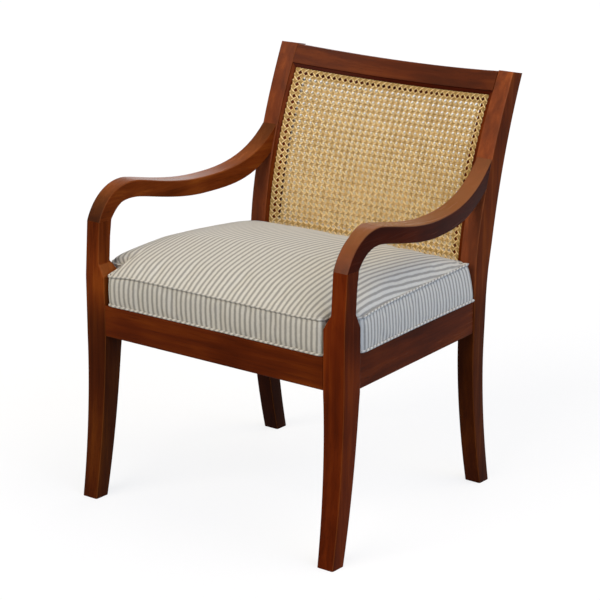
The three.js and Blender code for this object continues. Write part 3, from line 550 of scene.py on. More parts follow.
def weave_grid(face):
    """The counts of strand pairs and the two shifts: the rear sheet is a little off the front."""
    columns = round(2 * (sheet_half - SIDE_TO_HOLE) / PITCH_ACROSS)
    rows = int((sheet_length - TOP_TO_HOLE) / PITCH_DOWN)
    return columns, rows, *(REAR_SHIFT if face == "rear" else (0.0, 0.0))


def on_sheet(x, run, lift, face):
    """A point of a cane sheet: run is the way down it, and lift the height above its middle."""
    height = np.interp(run, profile_run, profile_heights)
    if face == "front":
        return back_point(x, height, PANEL_RECESS + SHEET_THICKNESS / 2 - lift)
    return back_point(x, height, PANEL_RECESS + PANEL_THICKNESS - SHEET_THICKNESS / 2 + lift)


def from_cells(column, row, face):
    """The place of a point in the grid of openings. Pairs cross at whole numbers."""
    columns, _, aside, down = weave_grid(face)
    x = (column - (columns + 1) / 2) * PITCH_ACROSS + aside
    return x, (row - 0.5) * PITCH_DOWN + TOP_TO_HOLE + down


def to_cells(x, run, face):
    """The grid numbers of a place on the sheet."""
    columns, _, aside, down = weave_grid(face)
    return (x - aside) / PITCH_ACROSS + (columns + 1) / 2, (run - TOP_TO_HOLE - down) / PITCH_DOWN + 0.5


WAVE_PLACES = np.array([-0.22, -0.11, 0.11, 0.22, 0.5])
WAVE_HEIGHTS = np.array([0.5, 1.0, -1.0, -0.5, 0.0])


def waved(crossings, stop, place_of):
    """Steps along a strand of a pair: up over one neighbour and down under the other."""
    cells = (np.arange(-1, crossings + 2)[:, None] + WAVE_PLACES).ravel()
    heights = np.tile(WAVE_HEIGHTS, crossings + 3)
    place = place_of(cells)
    inside = (place > stop[0] + END_RUN) & (place < stop[1] - END_RUN)
    ends = [stop[0], stop[0] + END_RUN / 2, stop[0] + END_RUN]
    place = np.concatenate([ends, place[inside], [stop[1] + stop[0] - end for end in ends[::-1]]])
    return place, np.concatenate([np.zeros(3), heights[inside], np.zeros(3)])


def upright_lines(face):
    """Pairs of upright strands: each goes over one strand of a level pair and under the other."""
    columns, rows = weave_grid(face)[:2]
    pairs = np.concatenate([[-BORDER_PAIR], np.arange(columns + 2), [columns + 1 + BORDER_PAIR]])
    side = np.tile([-1.0, 1.0], len(pairs))[:, None]
    x = from_cells(np.repeat(pairs, 2)[:, None], 0, face)[0] + side * PAIR_OFFSET
    keep = np.abs(x[:, 0]) < sheet_half - STRAND_WIDTH / 2
    run, wave = waved(rows, (0.0, sheet_length), lambda row: from_cells(0, row, face)[1])
    x, run = np.broadcast_arrays(x[keep], run)
    return x, run, side[keep] * wave * WEAVE_LIFT


def level_lines(face):
    """Pairs of level strands, woven the opposite way to the uprights."""
    columns, rows = weave_grid(face)[:2]
    side = np.tile([-1.0, 1.0], rows + 2)[:, None]
    run = from_cells(0, np.repeat(np.arange(rows + 2), 2)[:, None], face)[1] + side * PAIR_OFFSET
    keep = (run[:, 0] > STRAND_WIDTH / 2) & (run[:, 0] < sheet_length - STRAND_WIDTH / 2)
    x, wave = waved(columns, (-sheet_half, sheet_half), lambda column: from_cells(column, 0, face)[0])
    x, run = np.broadcast_arrays(x, run[keep])
    return x, run, side[keep] * wave * WEAVE_LIFT


def slanting_lines(face, turn):
    """Strands on the diagonals; turn is 1 where they fall to the right and -1 to the left."""
    right, down = to_cells(sheet_half, sheet_length, face)
    left, up = to_cells(-sheet_half, 0.0, face)
    near, far = (left, right) if turn > 0 else (-right, -left)
    first = np.arange(math.ceil(near - down), math.floor(far - up) + 1) + 0.5
    start, end = np.maximum(up, near - first), np.minimum(down, far - first)
    keep = end - start > SHORTEST_SLANT
    first, start, end = first[keep, None], start[keep, None], end[keep, None]
    row = start + (end - start) * np.linspace(0, 1, int((down - up) * STEPS_PER_CELL))
    x, run = from_cells(turn * (first + row), row, face)
    return x, run, turn * DIAGONAL_LIFT * np.cos(2 * np.pi * (row + 0.5))


for face in ("front", "rear"):
    print(face, "cane", [round(float(value), 1) for value in weave_grid(face)])

# %% [markdown]
# ## Carrying a strand's section along its line
# A strand is flat below, where it was split, and rounded above, where the skin is. At each point
# of its line the section stands square to the line and to the sheet, so it follows the bow of
# the back and waves over and under its neighbours. Every strand has a number of its own, which
# the material turns into a slightly different tan. The diagonals, which lie on top, get lighter
# numbers than the pairs under them, as painted light and shade.

# %% Strands and cane pieces
SECTION_ACROSS = np.array([-0.5, -0.28, 0.28, 0.5, 0.34, -0.34])
SECTION_UP = np.array([-0.1, 0.5, 0.5, -0.1, -0.5, -0.5])
SECTION_REACH = np.array([0.0, 0.2, 0.8, 1.0, 1.0, 0.0])
SECTION_PITH = np.array([0.5, 0.0, 0.0, 0.5, 1.0, 1.0])
PROBE = 0.5
CANE_RUN = 3000


def sheet_normal(x, run, face):
    """The unit direction out of the sheet, from the slopes of its surface."""
    across = on_sheet(x + PROBE, run, 0, face) - on_sheet(x - PROBE, run, 0, face)
    down = on_sheet(x, run + PROBE, 0, face) - on_sheet(x, run - PROBE, 0, face)
    return unit(np.cross(across, down)) * (-1 if face == "front" else 1)


def edge_dip(x, run):
    """How far a strand goes down where it turns into the frame at the sheet's edge."""
    to_edge = np.minimum(sheet_half - np.abs(x), np.minimum(run, sheet_length - run))
    return END_DIP * np.clip(1 - to_edge / END_RUN, 0, 1) ** 2


def strand_piece(name, lines, face, material, seed, tones):
    """One mesh of many strands: the section is carried along each line of points."""
    x, run, lift = lines
    middle = on_sheet(x, run, lift - edge_dip(x, run), face)
    along = unit(np.gradient(middle, axis=1))
    across = unit(np.cross(along, sheet_normal(x, run, face)))
    upward = np.cross(across, along)
    width = SECTION_ACROSS[:, None] * STRAND_WIDTH
    height = SECTION_UP[:, None] * STRAND_THICKNESS
    points = middle[:, :, None] + width * across[:, :, None] + height * upward[:, :, None]
    strands, steps, sides, _ = points.shape
    one = grid_quads(steps, sides, closed_columns=True)
    caps = np.array([[0, 1, 2, 3], [0, 3, 4, 5]])
    one = np.concatenate([one, caps[:, ::-1], caps + (steps - 1) * sides])
    quads = (one + (np.arange(strands) * steps * sides)[:, None, None]).reshape(-1, 4)
    mesh = mesh_from(name, points.reshape(-1, 3), quads)
    offsets = np.random.default_rng(seed).uniform(0, CANE_RUN, strands)
    each = np.random.default_rng(seed + 1).uniform(*tones, strands)
    u = np.broadcast_to((run_along(middle) + offsets[:, None])[:, :, None], points.shape[:3])
    v = np.broadcast_to(SECTION_REACH * STRAND_WIDTH, points.shape[:3])
    add_uv(mesh, quads, np.stack([u.ravel(), v.ravel()], axis=-1))
    add_attribute(mesh, "tone", np.repeat(each, steps * sides))
    add_attribute(mesh, "pith", np.tile(SECTION_PITH, strands * steps))
    add_piece(name, mesh, material, [f"cane_sheet_{face}"])
    print(name, strands, "strands")


# %% [markdown]
# ## Rattan
# The skin of rattan is hard and lightly varnished, so it has a low roughness for a natural
# material. It is straw yellow to tan, each strand a little different, with fine lines along it
# and a darker ring at each old leaf joint, some 250 mm apart. The split side is pale matt pith,
# which shows on the rear sheet through the front one's openings. Its colour is made paler still,
# as painted light for the light that passes between the two sheets.

# %% Rattan material
FIBRE_WIDTH = 0.35
FIBRES_ALONG = 30.0
FIBRE_SHARE = 0.4
NODE_SPACING = 0.27
NODE_WIDTH = 0.0012
NODE_SHARE = 0.7
CANE_STOPS = ((0.2, "#8c6a2c"), (0.6, "#c39a55"), (1.0, "#f8d896"))
CANE_SHADOW = "#7d5a2b"
# Pith colour: partly the pith's own pale tone, partly painted light for light passing through the
# sheets.
PITH_WITH_PAINTED_LIGHT = "#f3e2ba"


def rattan(name):
    """Varnished rattan skin, read along and across each strand."""
    material, tree = new_material(name)
    place = add(tree, "UVMap", uv_map="cloth").outputs[0]
    tone = add(tree, "Attribute", attribute_name="tone").outputs["Fac"]
    pith = add(tree, "Attribute", attribute_name="pith").outputs["Fac"]
    scale = (FIBRES_ALONG, 1 / (FIBRE_WIDTH * MM), 1.0)
    stretched = add(tree, "Mapping", {"Vector": place, "Scale": scale})
    fibres = add(tree, "TexNoise", {
        "Vector": stretched, "Scale": 1.0, "Detail": 3.0,
    }, noise_dimensions="2D")
    mixed = add(tree, "Math", [fibres, FIBRE_SHARE, tone], operation="MULTIPLY_ADD")
    colour = add(tree, "ValToRGB", [mixed], CANE_STOPS)
    along = add(tree, "SeparateXYZ", [place]).outputs["X"]
    ring = add(tree, "Math", [along, NODE_SPACING / 2], operation="PINGPONG")
    near = add(tree, "MapRange", [ring, 0.0, NODE_WIDTH, NODE_SHARE, 0.0])
    # The leaf-joint rings and the pith are laid on; the pith's colour is lightened as painted light.
    for share, laid in ((near, CANE_SHADOW), (pith, PITH_WITH_PAINTED_LIGHT)):
        colour = add(tree, "Mix", {0: share, 6: colour, 7: laid}, data_type="RGBA").outputs[2]
    bump = add(tree, "Bump", {"Strength": 0.25, "Distance": 0.2 * MM, "Height": fibres})
    return finish_material(material, add(tree, "BsdfPrincipled", {
        "Base Color": colour, "Roughness": 0.42, "Normal": bump,
        "IOR": 1.5, "Specular IOR Level": 0.12,
    }))


cane_material = rattan("varnished_rattan")
# Painted light and shade: the pairs underneath get darker tones and the diagonals on top lighter ones.
PAIR_TONES_PAINTED_SHADE = (0.0, 0.35)
DIAGONAL_TONES_PAINTED_LIGHT = (0.5, 0.95)
for face, seed in (("front", 11), ("rear", 47)):
    for name, lines, tones in (
        ("uprights", upright_lines(face), PAIR_TONES_PAINTED_SHADE),
        ("levels", level_lines(face), PAIR_TONES_PAINTED_SHADE),
        ("falling_right", slanting_lines(face, 1), DIAGONAL_TONES_PAINTED_LIGHT),
        ("falling_left", slanting_lines(face, -1), DIAGONAL_TONES_PAINTED_LIGHT),
    ):
        seed += 2
        strand_piece(f"cane_{face}_{name}", lines, face, cane_material, seed, tones)

# %% [markdown]
# ## The cushion's plan
# An upholsterer cuts a top panel, a bottom panel and a long strip, the boxing, that runs round
# between them. The plan is a rectangle that narrows to the rear, with a notch round each front
# post. Its sizes come from the rails and legs that it sits on, with the same small clearances as
# in the solid. The panels are grids of cells that get finer towards the seams.

# %% Plan of the cushion
POST_GAP = 4.5
POST_REAR_GAP = 5.0
FRONT_INSET = 3.5
OVERHANG = 5.0
REAR_GAP = 4.5
REAR_LEAN = 14.0
REAR_DRAW = 4.0
DRAW_IN = 2.0
SEAM_HEIGHT = 73.0
INNER_COLUMNS = 84
OUTER_COLUMNS = 10
FRONT_ROWS = 12
REAR_ROWS = 66
GRADING = 0.5

front_leg_low, front_leg_high = box_of("front_leg_left")
rail_points = points_of("side_seat_rail_left")
rail_front = rail_points[rail_points[:, 0].argmax()]
rear_half = rail_points[rail_points[:, 1] > REAR_FACE - 1]
rail_rear = rear_half[rear_half[:, 0].argmax()]
cushion_front = box_of("front_seat_rail")[0][1] + FRONT_INSET
cushion_rear = REAR_FACE - REAR_GAP
notch_side = front_leg_low[0] - POST_GAP
notch_rear = front_leg_high[1] + POST_REAR_GAP
cushion_base = SEAT_RAIL_TOP + PIECE_GAP
print("cushion from", cushion_front.round(1), "to", cushion_rear.round(1), "notch", notch_side.round(1))


def graded(steps):
    """Shares from 0 to 1 whose steps are finer at both ends."""
    even = np.linspace(0, 1, steps + 1)
    return even - GRADING * np.sin(2 * np.pi * even) / (2 * np.pi)


def way_back(y):
    """0 at the cushion's front and 1 at its rear."""
    return (y - cushion_front) / (cushion_rear - cushion_front)


def side_at(y, rise):
    """Half the width at a depth: it follows the side rail, and leans in towards the top rear."""
    slope = (rail_rear[0] - rail_front[0]) / (rail_rear[1] - rail_front[1])
    return rail_front[0] + slope * (y - rail_front[1]) + OVERHANG - REAR_LEAN * rise * way_back(y)


def rounded(x, y, corner_x, corner_y, radius):
    """Pulls the cells near a corner onto a round one: a square's points moved onto a disc."""
    p = 1 - (corner_x - np.abs(x)) / radius
    q = 1 - np.abs(corner_y - y) / radius
    near = (p > 0) & (q > 0) & (p <= 1.001)
    p, q = np.where(near, p, 0), np.where(near, q, 0)
    move_x = p * (np.sqrt(1 - q ** 2 / 2) - 1) * radius
    move_y = q * (np.sqrt(1 - p ** 2 / 2) - 1) * radius
    middle = (cushion_front + cushion_rear) / 2
    return x + np.sign(x) * move_x, y + np.sign(corner_y - middle) * move_y


inner = 2 * graded(INNER_COLUMNS) - 1
outer = graded(OUTER_COLUMNS)[1:]
front_rows = graded(FRONT_ROWS)
rear_rows = graded(REAR_ROWS)[1:]
all_columns = INNER_COLUMNS + 1 + 2 * OUTER_COLUMNS
all_rows = FRONT_ROWS + 1 + REAR_ROWS
CORNER_RADII = (11.0, 27.0, 30.0)


def panel(rise, inset=0.0):
    """A panel's points row by row from the front, and their shares of its depth and half width."""
    front, rear = cushion_front + inset, cushion_rear - REAR_DRAW * rise - inset
    notch_x, notch_y = notch_side - inset, notch_rear + inset
    y = np.concatenate([
        front + (notch_y - front) * front_rows, notch_y + (rear - notch_y) * rear_rows,
    ])[:, None]
    side = side_at(y, rise) - inset
    wing = notch_x + (side - notch_x) * outer
    x = np.concatenate([
        -wing[:, ::-1], np.broadcast_to(inner * notch_x, (all_rows, len(inner))), wing,
    ], axis=1)
    x, y = np.broadcast_arrays(x, y)
    deep, wide = (y - front) / (rear - front), np.abs(x) / side
    middle = np.cos(np.pi / 2 * np.clip(np.abs(x) / notch_x, 0, 1))
    along = np.sin(np.pi * np.clip((y - notch_y) / (rear - notch_y), 0, 1))
    x = x * (1 - DRAW_IN * along / side)
    y = y + DRAW_IN * middle * (1 - 2 * deep)
    corners = (
        (notch_x, front), (side_at(notch_y, rise) - inset, notch_y), (side_at(rear, rise) - inset, rear),
    )
    for corner, radius in zip(corners, CORNER_RADII):
        x, y = rounded(x, y, *corner, radius - inset)
    return np.stack([x, y], axis=-1), deep, wide


# %% [markdown]
# ## From plan to cover
# The panels' outer cells are walked once round: from the middle of the rear edge to the left,
# round the notches and along the front, and back. That walk is the seam. The crown is a dome
# that is highest a little in front of the middle, because the foam under the cover was cut so.
# It falls to the seams, it is tucked in beside the front posts, and it rises fast behind them.

# %% The seam's walk and the crown
CROWN = 52.5
CROWN_PEAK = 0.36
CROWN_SIDE = (2.1, 0.4)
CROWN_FRONT = (1.0, 0.49)
CROWN_REAR = (1.65, 0.6)
POST_EASE_ACROSS = 9.0
POST_EASE_BEHIND = 4.0
SEAM_RISE = 4.0
FRONT_SAG = 4.5
SAG_DEPTH = 90.0
CORNER_SAGS = ((-1, "front", 7.0), (1, "front", -3.0), (1, "wing", 2.5), (-1, "inner", -3.0))
CORNER_REACH = 42.0

seam_height = SEAT_RAIL_TOP + SEAM_HEIGHT
cell = np.arange(all_rows * all_columns).reshape(all_rows, all_columns)
left_edge, right_edge = OUTER_COLUMNS, OUTER_COLUMNS + INNER_COLUMNS
middle_column = OUTER_COLUMNS + INNER_COLUMNS // 2
seam_walk = np.concatenate([
    cell[-1, middle_column:0:-1],
    cell[-1:FRONT_ROWS:-1, 0],
    cell[FRONT_ROWS, :left_edge],
    cell[FRONT_ROWS:0:-1, left_edge],
    cell[0, left_edge:right_edge],
    cell[:FRONT_ROWS, right_edge],
    cell[FRONT_ROWS, right_edge:-1],
    cell[FRONT_ROWS:-1, -1],
    cell[-1, :middle_column:-1],
])
front_middle = int(np.flatnonzero(seam_walk == cell[0, middle_column])[0])
used = np.ones((all_rows, all_columns), bool)
used[:FRONT_ROWS, :left_edge] = False
used[:FRONT_ROWS, right_edge + 1:] = False
print("points on the seam", len(seam_walk))


def seam_at(x, y):
    """The top seam's height: it rises to the rear, and it sags in front and at the used corners."""
    height = seam_height + SEAM_RISE * way_back(y)
    height = height - FRONT_SAG * np.exp(-(((y - cushion_front) / SAG_DEPTH) ** 2))
    for side, place, sag in CORNER_SAGS:
        corner_x = side_at(notch_rear, 1.0) if place == "wing" else notch_side
        corner_y = cushion_front if place == "front" else notch_rear
        away = np.hypot(x - side * corner_x, y - corner_y) / CORNER_REACH
        height = height - sag * np.exp(-(away ** 2))
    return height


def fall(share, shape):
    """1 in the middle and 0 at the edge, as (1 - share to a power) to another power."""
    power, root = shape
    return np.clip(1 - np.clip(share, 0, 1) ** power, 0, 1) ** root


def crown_above(plan, deep, wide):
    """How far the top panel stands above its seam, from its shares of depth and half width."""
    ahead = fall((CROWN_PEAK - deep) / CROWN_PEAK, CROWN_FRONT)
    behind = fall((deep - CROWN_PEAK) / (1 - CROWN_PEAK), CROWN_REAR)
    along = np.where(deep < CROWN_PEAK, ahead, behind)
    x, y = np.abs(plan[..., 0]), plan[..., 1]
    beside = np.clip(notch_side - x, 0, None) / POST_EASE_ACROSS
    beyond = np.clip(y - notch_rear, 0, None) / POST_EASE_BEHIND
    return CROWN * along * fall(wide, CROWN_SIDE) * (1 - np.exp(-np.hypot(beside, beyond)))


# %% [markdown]
# ## Boxing, seams and the closed cover
# The boxing bulges a little between its two seams. At each seam the cloth turns in to the line
# of stitches, behind the piping. Going up the side, each level is the seam's walk pushed out or
# in by a profile, and the last level is the edge of the top panel, so the cover is one closed
# skin. Each face also gets its place on the flat cloth, in metres: on the top the stripes keep
# their distance along the dome, and on the boxing they follow the walk, so both meet in front.

# %% The cover's mesh
BOXING_BULGE = 1.6
BULGE_POWER = 0.8
SEAM_TURN_IN = 2.4
PIPING_RADIUS = 2.4
PIPING_STAND = 0.6
TURN_REACH = 1.2 * PIPING_RADIUS
LEVEL_HEIGHTS = np.array([0, 1.0, 2.4, 4.2, 7, 12, 18, 25, 32, 39, 46, 53, 59, 64, 67.5, 69.6, 70.8, 72])
# Boxing levels above this height get the painted shade under the top piping.
PAINTED_CREASE_FROM = 70.0
SIDE_EASE = 1.12


def boxing_offset(climb):
    """How far the boxing stands out at a height: in at the seams, out in the middle."""
    ends = np.minimum(climb, SEAM_HEIGHT - climb)
    turn = np.exp(-((ends / TURN_REACH) ** 2))
    return BOXING_BULGE * np.sin(np.pi * climb / SEAM_HEIGHT) ** BULGE_POWER - SEAM_TURN_IN * turn


def walk_at(climb, offset):
    """The seam's walk at a height above the base, pushed out by an offset."""
    loop = panel(climb / SEAM_HEIGHT, -offset)[0].reshape(-1, 2)[seam_walk]
    lifted = cushion_base + climb * (seam_at(loop[:, 0], loop[:, 1]) - cushion_base) / SEAM_HEIGHT
    return np.column_stack([loop, lifted])


def panel_uv(points):
    """The place on the flat cloth: the way along the surface from the middle, and from the front."""
    grid = points.reshape(all_rows, all_columns, 3)
    step_u = np.hypot(np.diff(grid[..., 0], axis=1), np.diff(grid[..., 2], axis=1))
    step_v = np.hypot(np.diff(grid[..., 1], axis=0), np.diff(grid[..., 2], axis=0))
    u = np.pad(np.cumsum(step_u, axis=1), ((0, 0), (1, 0)))
    v = np.pad(np.cumsum(step_v, axis=0), ((1, 0), (0, 0)))
    return np.stack([u - u[:, middle_column:middle_column + 1], v], axis=-1).reshape(-1, 2)


def build_cover():
    """Bottom panel, boxing and top panel as one skin, with each face's place on the cloth."""
    levels = np.stack([walk_at(climb, boxing_offset(climb)) for climb in LEVEL_HEIGHTS])
    plan, deep, wide = panel(1.0, SEAM_TURN_IN)
    dome = seam_at(plan[..., 0], plan[..., 1]) + crown_above(plan, deep, wide)
    top = np.concatenate([plan, dome[..., None]], axis=-1).reshape(-1, 3)
    top[seam_walk, 2] = seam_at(top[seam_walk, 0], top[seam_walk, 1])
    plan = panel(0.0, SEAM_TURN_IN)[0]
    bottom = np.concatenate([plan, np.full(deep.shape + (1,), cushion_base)], axis=-1).reshape(-1, 3)
    ring, count = len(seam_walk), len(top)
    between = levels[1:].reshape(-1, 3)
    points = np.concatenate([bottom, top, between])
    rings = np.concatenate([
        seam_walk[None], 2 * count + np.arange(len(between)).reshape(-1, ring), count + seam_walk[None],
    ])
    boxing = corners_of(np.concatenate([rings, rings[:, :1]], axis=1)).reshape(-1, 4)
    panel_quads = grid_quads(all_rows, all_columns)
    panel_quads = panel_quads[used.ravel()[panel_quads].all(axis=1)]
    quads = np.concatenate([panel_quads[:, ::-1], panel_quads + count, boxing])
    seam = top[np.append(seam_walk, seam_walk[0])]
    steps = np.abs(np.diff(seam[:, :2], axis=0))
    eased = np.where(steps[:, 1] > steps[:, 0], SIDE_EASE, 1.0)
    walked = np.pad(np.cumsum(np.hypot(*steps.T) * eased), (1, 0))
    climbs = np.append(LEVEL_HEIGHTS, SEAM_HEIGHT)
    u, v = np.meshgrid(walked - walked[front_middle], climbs)
    uv = np.concatenate([
        bottom[panel_quads[:, ::-1].ravel(), :2], panel_uv(top)[panel_quads.ravel()],
        corners_of(np.stack([u, v], axis=-1)).reshape(-1, 2),
    ])
    pinned = np.concatenate([np.arange(count), count + seam_walk])
    # Painted shade: the boxing's top levels, just under the piping, are marked for darkening.
    crease_shade_mark = np.zeros(len(points))
    crease_shade_mark[2 * count:] = np.repeat(LEVEL_HEIGHTS[1:] > PAINTED_CREASE_FROM, ring)
    kept, quads = np.unique(quads, return_inverse=True)
    return points[kept], quads.reshape(-1, 4), uv, np.flatnonzero(np.isin(kept, pinned)), crease_shade_mark[kept]


# %% [markdown]
# ## Filling the cover
# A real cover is pulled over foam a little larger than itself. Cloth simulation does the same:
# the seams and the bottom are pinned, a light pressure pushes the panels out, and the cloth
# answers with its own stretch. It starts slightly low and is capped, so the seat keeps its size.

# %% Cloth simulation
CLOTH_SETTINGS = {
    "quality": 6, "mass": 0.3, "tension_stiffness": 30, "compression_stiffness": 30,
    "shear_stiffness": 12, "bending_stiffness": 1.5, "shrink_min": -0.012,
    "vertex_group_mass": "sewn", "use_pressure": True, "uniform_pressure_force": 4.0,
}
LAST_FRAME = 20
CAP_TOP = 5.0
CAP_SIDE = 1.6


def inflate(cover, pinned):
    """Runs the cloth for a few frames, caps how far each point moves and keeps the result."""
    mesh = cover.data
    start = read_mesh(mesh)
    group = cover.vertex_groups.new(name="sewn")
    group.add(pinned.tolist(), 1.0, "REPLACE")
    cloth = cover.modifiers.new("cloth", "CLOTH")
    for key, value in CLOTH_SETTINGS.items():
        setattr(cloth.settings, key, value)
    cloth.settings.effector_weights.gravity = 0
    cloth.collision_settings.use_collision = False
    for number in range(1, LAST_FRAME + 1):
        bpy.context.scene.frame_set(number)
    end = read_mesh(cover.evaluated_get(bpy.context.evaluated_depsgraph_get()).data)
    cover.modifiers.remove(cloth)
    cover.vertex_groups.remove(group)
    bpy.context.scene.frame_set(1)
    move = end - start
    length = np.linalg.norm(move, axis=1, keepdims=True) + 1e-9
    cap = np.where(start[:, 2:] > seam_height * MM, CAP_TOP, CAP_SIDE) * MM
    move *= cap * np.tanh(length / cap) / length
    mesh.vertices.foreach_set("co", (start + move).astype(np.float32).ravel())
    mesh.update()
    kept = np.linalg.norm(move, axis=1).max()
    print("cloth moved up to", (length.max() / MM).round(1), "mm, kept", (kept / MM).round(1))


# %% [markdown]
# ## Ticking
# Ticking is a tight cotton twill with woven stripes: here a grey-taupe band on cream, repeated
# every 12.2 mm. The dark band has soft edges, because its last few warp threads alternate with
# cream ones. Cotton is matt, with a roughness near 0.95 and a little sheen. The threads are
# 0.5 mm in the real cloth and are drawn at 0.9 mm, the finest that the picture shows. The boxing
# just under the top piping is darkened as painted shade in the seam's crease.

# %% Ticking material
STRIPE_PITCH = 12.2
STRIPE_WANDER = 1.2
WANDER_SCALE = 14.0
THREAD = 0.9
THREAD_RUN = 9
THREAD_DEPTH = 0.25
RAGGED_EDGE = 0.3
SLUB_SHADES = (0.93, 1.04)
CREASE_PAINTED_SHADE = 0.35
CREAM = "#cdc8b8"
STRIPE_STOPS = ((0.44, "#948f83"), (0.58, "#aea99b"), (0.74, CREAM), (0.95, "#c3bdad"), (1.0, CREAM))


def ticking(name, slant=0.0):
    """Striped cotton; slant turns the stripes for cloth that is cut on the bias."""
    material, tree = new_material(name)
    flat = {"noise_dimensions": "2D"}
    place = add(tree, "UVMap", uv_map="cloth").outputs[0]
    crease_shade_mark = add(tree, "Attribute", attribute_name="crease_shade_mark").outputs["Fac"]
    x, y, _ = add(tree, "SeparateXYZ", [place]).outputs
    wander = add(tree, "TexNoise", {"Vector": place, "Scale": WANDER_SCALE, "Detail": 2.0}, **flat)
    across = add(tree, "Math", [y, slant, x], operation="MULTIPLY_ADD")
    wavy = add(tree, "Math", [wander, STRIPE_WANDER * MM, across], operation="MULTIPLY_ADD")
    band = add(tree, "Math", [wavy, STRIPE_PITCH * MM / 2], operation="PINGPONG")
    share = add(tree, "Math", [band, STRIPE_PITCH * MM / 2], operation="DIVIDE")
    fine, drawn_out = 1 / (THREAD * MM), 1 / (THREAD_RUN * THREAD * MM)
    threads = []
    for scale in ((fine, drawn_out, 1.0), (drawn_out, fine, 1.0)):
        placed = add(tree, "Mapping", {"Vector": place, "Scale": scale})
        threads.append(add(tree, "TexNoise", {"Vector": placed, "Scale": 1.0}, **flat))
    warp, weft = threads
    ragged = add(tree, "Math", [warp, RAGGED_EDGE, share], operation="MULTIPLY_ADD")
    stripes = add(tree, "ValToRGB", [ragged], STRIPE_STOPS)
    slub = add(tree, "MapRange", [weft, *NOISE_RANGE, *SLUB_SHADES])
    # Painted shade in the crease under the top piping, where the marks say so.
    dark = add(tree, "MapRange", {"Value": crease_shade_mark, "To Min": 1.0, "To Max": CREASE_PAINTED_SHADE})
    shade = add(tree, "Math", [slub, dark], operation="MULTIPLY")
    shaded = add(tree, "VectorMath", {0: stripes, "Scale": shade}, operation="SCALE")
    weave = add(tree, "Math", [warp, weft], operation="ADD")
    bump = add(tree, "Bump", {"Strength": 0.35, "Distance": THREAD_DEPTH * MM, "Height": weave})
    return finish_material(material, add(tree, "BsdfPrincipled", {
        "Base Color": shaded, "Roughness": 0.92, "Normal": bump,
        "Sheen Weight": 0.15, "Sheen Roughness": 0.5,
    }))


cushion_points, cushion_quads, cushion_uv, sewn, crease_shade_marks = build_cover()
cushion_mesh = mesh_from("seat_cover", cushion_points, cushion_quads)
add_uv(cushion_mesh, cushion_quads, cushion_uv)
add_attribute(cushion_mesh, "crease_shade_mark", crease_shade_marks)
cushion = add_piece("seat_cover", cushion_mesh, ticking("cotton_ticking"), ["seat_cushion"])
inflate(cushion, sewn)
finer = cushion.modifiers.new("finer", "SUBSURF")
finer.levels = finer.render_levels = 1
print("cover", len(cushion_quads), "quads")

# %% [markdown]
# ## Piping
# Piping is a cord wrapped in a bias strip of the same cloth and sewn into the seam. Cut at a
# slant, the stripes wind round it, so it looks like a row of light and dark beads. Its line is
# the seam's walk, moved out by a hair, and its section is a circle.

# %% Piping pieces
PIPING_SIDES = 14
PIPING_STEPS = 1100
BIAS_SLANT = 0.9


def even_walk(path, steps):
    """The same closed path with points at even distances."""
    closed = np.vstack([path, path[:1]])
    run = run_along(closed)
    target = np.linspace(0, run[-1], steps, endpoint=False)
    return np.stack([np.interp(target, run, closed[:, k]) for k in range(3)], axis=1), target


def add_piping(name, climb, material, node):
    """A closed cord along the cushion's walk at a height."""
    path, run = even_walk(walk_at(climb, PIPING_STAND), PIPING_STEPS)
    along = unit(np.roll(path, -1, axis=0) - np.roll(path, 1, axis=0))
    out = unit(np.column_stack([along[:, 1], -along[:, 0], np.zeros(len(along))]))
    up = np.cross(out, along)
    angle = np.linspace(0, 2 * np.pi, PIPING_SIDES, endpoint=False)
    circle = np.cos(angle)[:, None] * out[:, None] - np.sin(angle)[:, None] * up[:, None]
    points = path[:, None] + PIPING_RADIUS * circle
    quads = grid_quads(PIPING_STEPS, PIPING_SIDES, closed_rows=True, closed_columns=True)
    mesh = mesh_from(name, points.reshape(-1, 3), quads)
    around = np.append(angle, 2 * np.pi) * PIPING_RADIUS
    lengths = np.append(run, run[-1] + run[1])
    u, v = np.meshgrid(lengths, around, indexing="ij")
    add_uv(mesh, quads, corners_of(np.stack([u, v], axis=-1)).reshape(-1, 2))
    add_piece(name, mesh, material, [node])
    print(name, lengths[-1].round(), "mm round")


bias_cloth = ticking("cotton_ticking_on_the_bias", slant=BIAS_SLANT)
add_piping("upper_piping", SEAM_HEIGHT, bias_cloth, "piping_top")
add_piping("lower_piping", PIPING_RADIUS, bias_cloth, "piping_bottom")

# %% [markdown]
# ## A pale studio
# The chair stands on a plain white floor that fills the picture. Seen by the camera, and in
# reflections, the floor shows part of its own light, so that it comes out white, while the
# chair's shadow stays. The world round it is white in the same way, and lights the chair only a
# little. A soft key comes from the front, a softer light from above, a cool one from the right,
# as from a window, and a faint one from behind. Sun lamps light the whole floor evenly.

# %% Floor, lamps and world
FLOOR_SIZE = 40.0
FLOOR_GLOW = 0.8
FLOOR_SHOWN = "#7e7e7e"
FLOOR_PAPER = "#585858"
WHITE = "#ffffff"
WORLD_LIGHT = 0.22
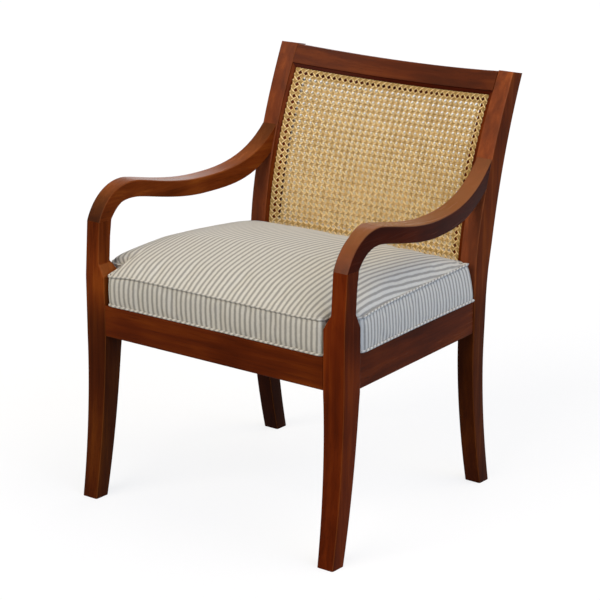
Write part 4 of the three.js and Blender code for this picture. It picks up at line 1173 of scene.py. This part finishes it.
# Each lamp's name, the direction that it stands in, its strength, its width in degrees, its colour.
LAMPS = (
    ("key_light", (-0.12, -0.82, 0.58), 2.1, 45, "#fff6ea"),
    ("top_light", (0.45, 0.25, 0.85), 1.0, 40, "#fff4e4"),
    ("window_light", (0.95, -0.2, 0.18), 3.2, 70, "#bdd3ff"),
    ("back_light", (-0.2, 0.95, 0.25), 1.0, 60, WHITE),
)


def seen_rays(tree):
    """1 for rays from the camera, in reflections and through glass, and 0 for those that light."""
    rays = add(tree, "LightPath").outputs
    direct = add(tree, "Math", [rays["Is Camera Ray"], rays["Is Glossy Ray"]], operation="MAXIMUM")
    return add(tree, "Math", [direct, rays["Is Transmission Ray"]], operation="MAXIMUM")


def studio_floor():
    """A white floor whose camera colour is part glow and part lit surface."""
    material, tree = new_material("white_studio_paper")
    paper = add(tree, "BsdfDiffuse", {"Color": FLOOR_PAPER})
    shown = add(tree, "BsdfDiffuse", {"Color": FLOOR_SHOWN})
    glow = add(tree, "Emission", {"Color": WHITE, "Strength": FLOOR_GLOW})
    both = add(tree, "AddShader", [shown, glow])
    return finish_material(material, add(tree, "MixShader", [seen_rays(tree), paper, both]))


floor_corners = np.array([[-1, -1, 0], [1, -1, 0], [1, 1, 0], [-1, 1, 0]])
floor_mesh = mesh_from("floor", floor_corners * FLOOR_SIZE / 2 / MM, np.array([[0, 1, 2, 3]]))
floor_mesh.materials.append(studio_floor())
floor = bpy.data.objects.new("floor", floor_mesh)
bpy.context.scene.collection.objects.link(floor)

for name, (x, y, z), strength, angle, colour in LAMPS:
    sun = bpy.data.lights.new(name, "SUN")
    sun.energy = strength
    sun.angle = math.radians(angle)
    sun.color = linear(colour)[:3]
    lamp = bpy.data.objects.new(name, sun)
    lamp.rotation_euler = (math.atan2(math.hypot(x, y), z), 0, math.atan2(y, x) + math.pi / 2)
    bpy.context.scene.collection.objects.link(lamp)

world = bpy.data.worlds.new("studio")
bpy.context.scene.world = world
world.use_nodes = True
sky = world.node_tree
sky.nodes.clear()
sky_strength = add(sky, "MapRange", {"Value": seen_rays(sky), "To Min": WORLD_LIGHT, "To Max": 1.0})
background = add(sky, "Background", {"Color": WHITE, "Strength": sky_strength})
add(sky, "OutputWorld", {"Surface": background})
bpy.context.scene.view_settings.view_transform = "Standard"
print("lamps", len(LAMPS))
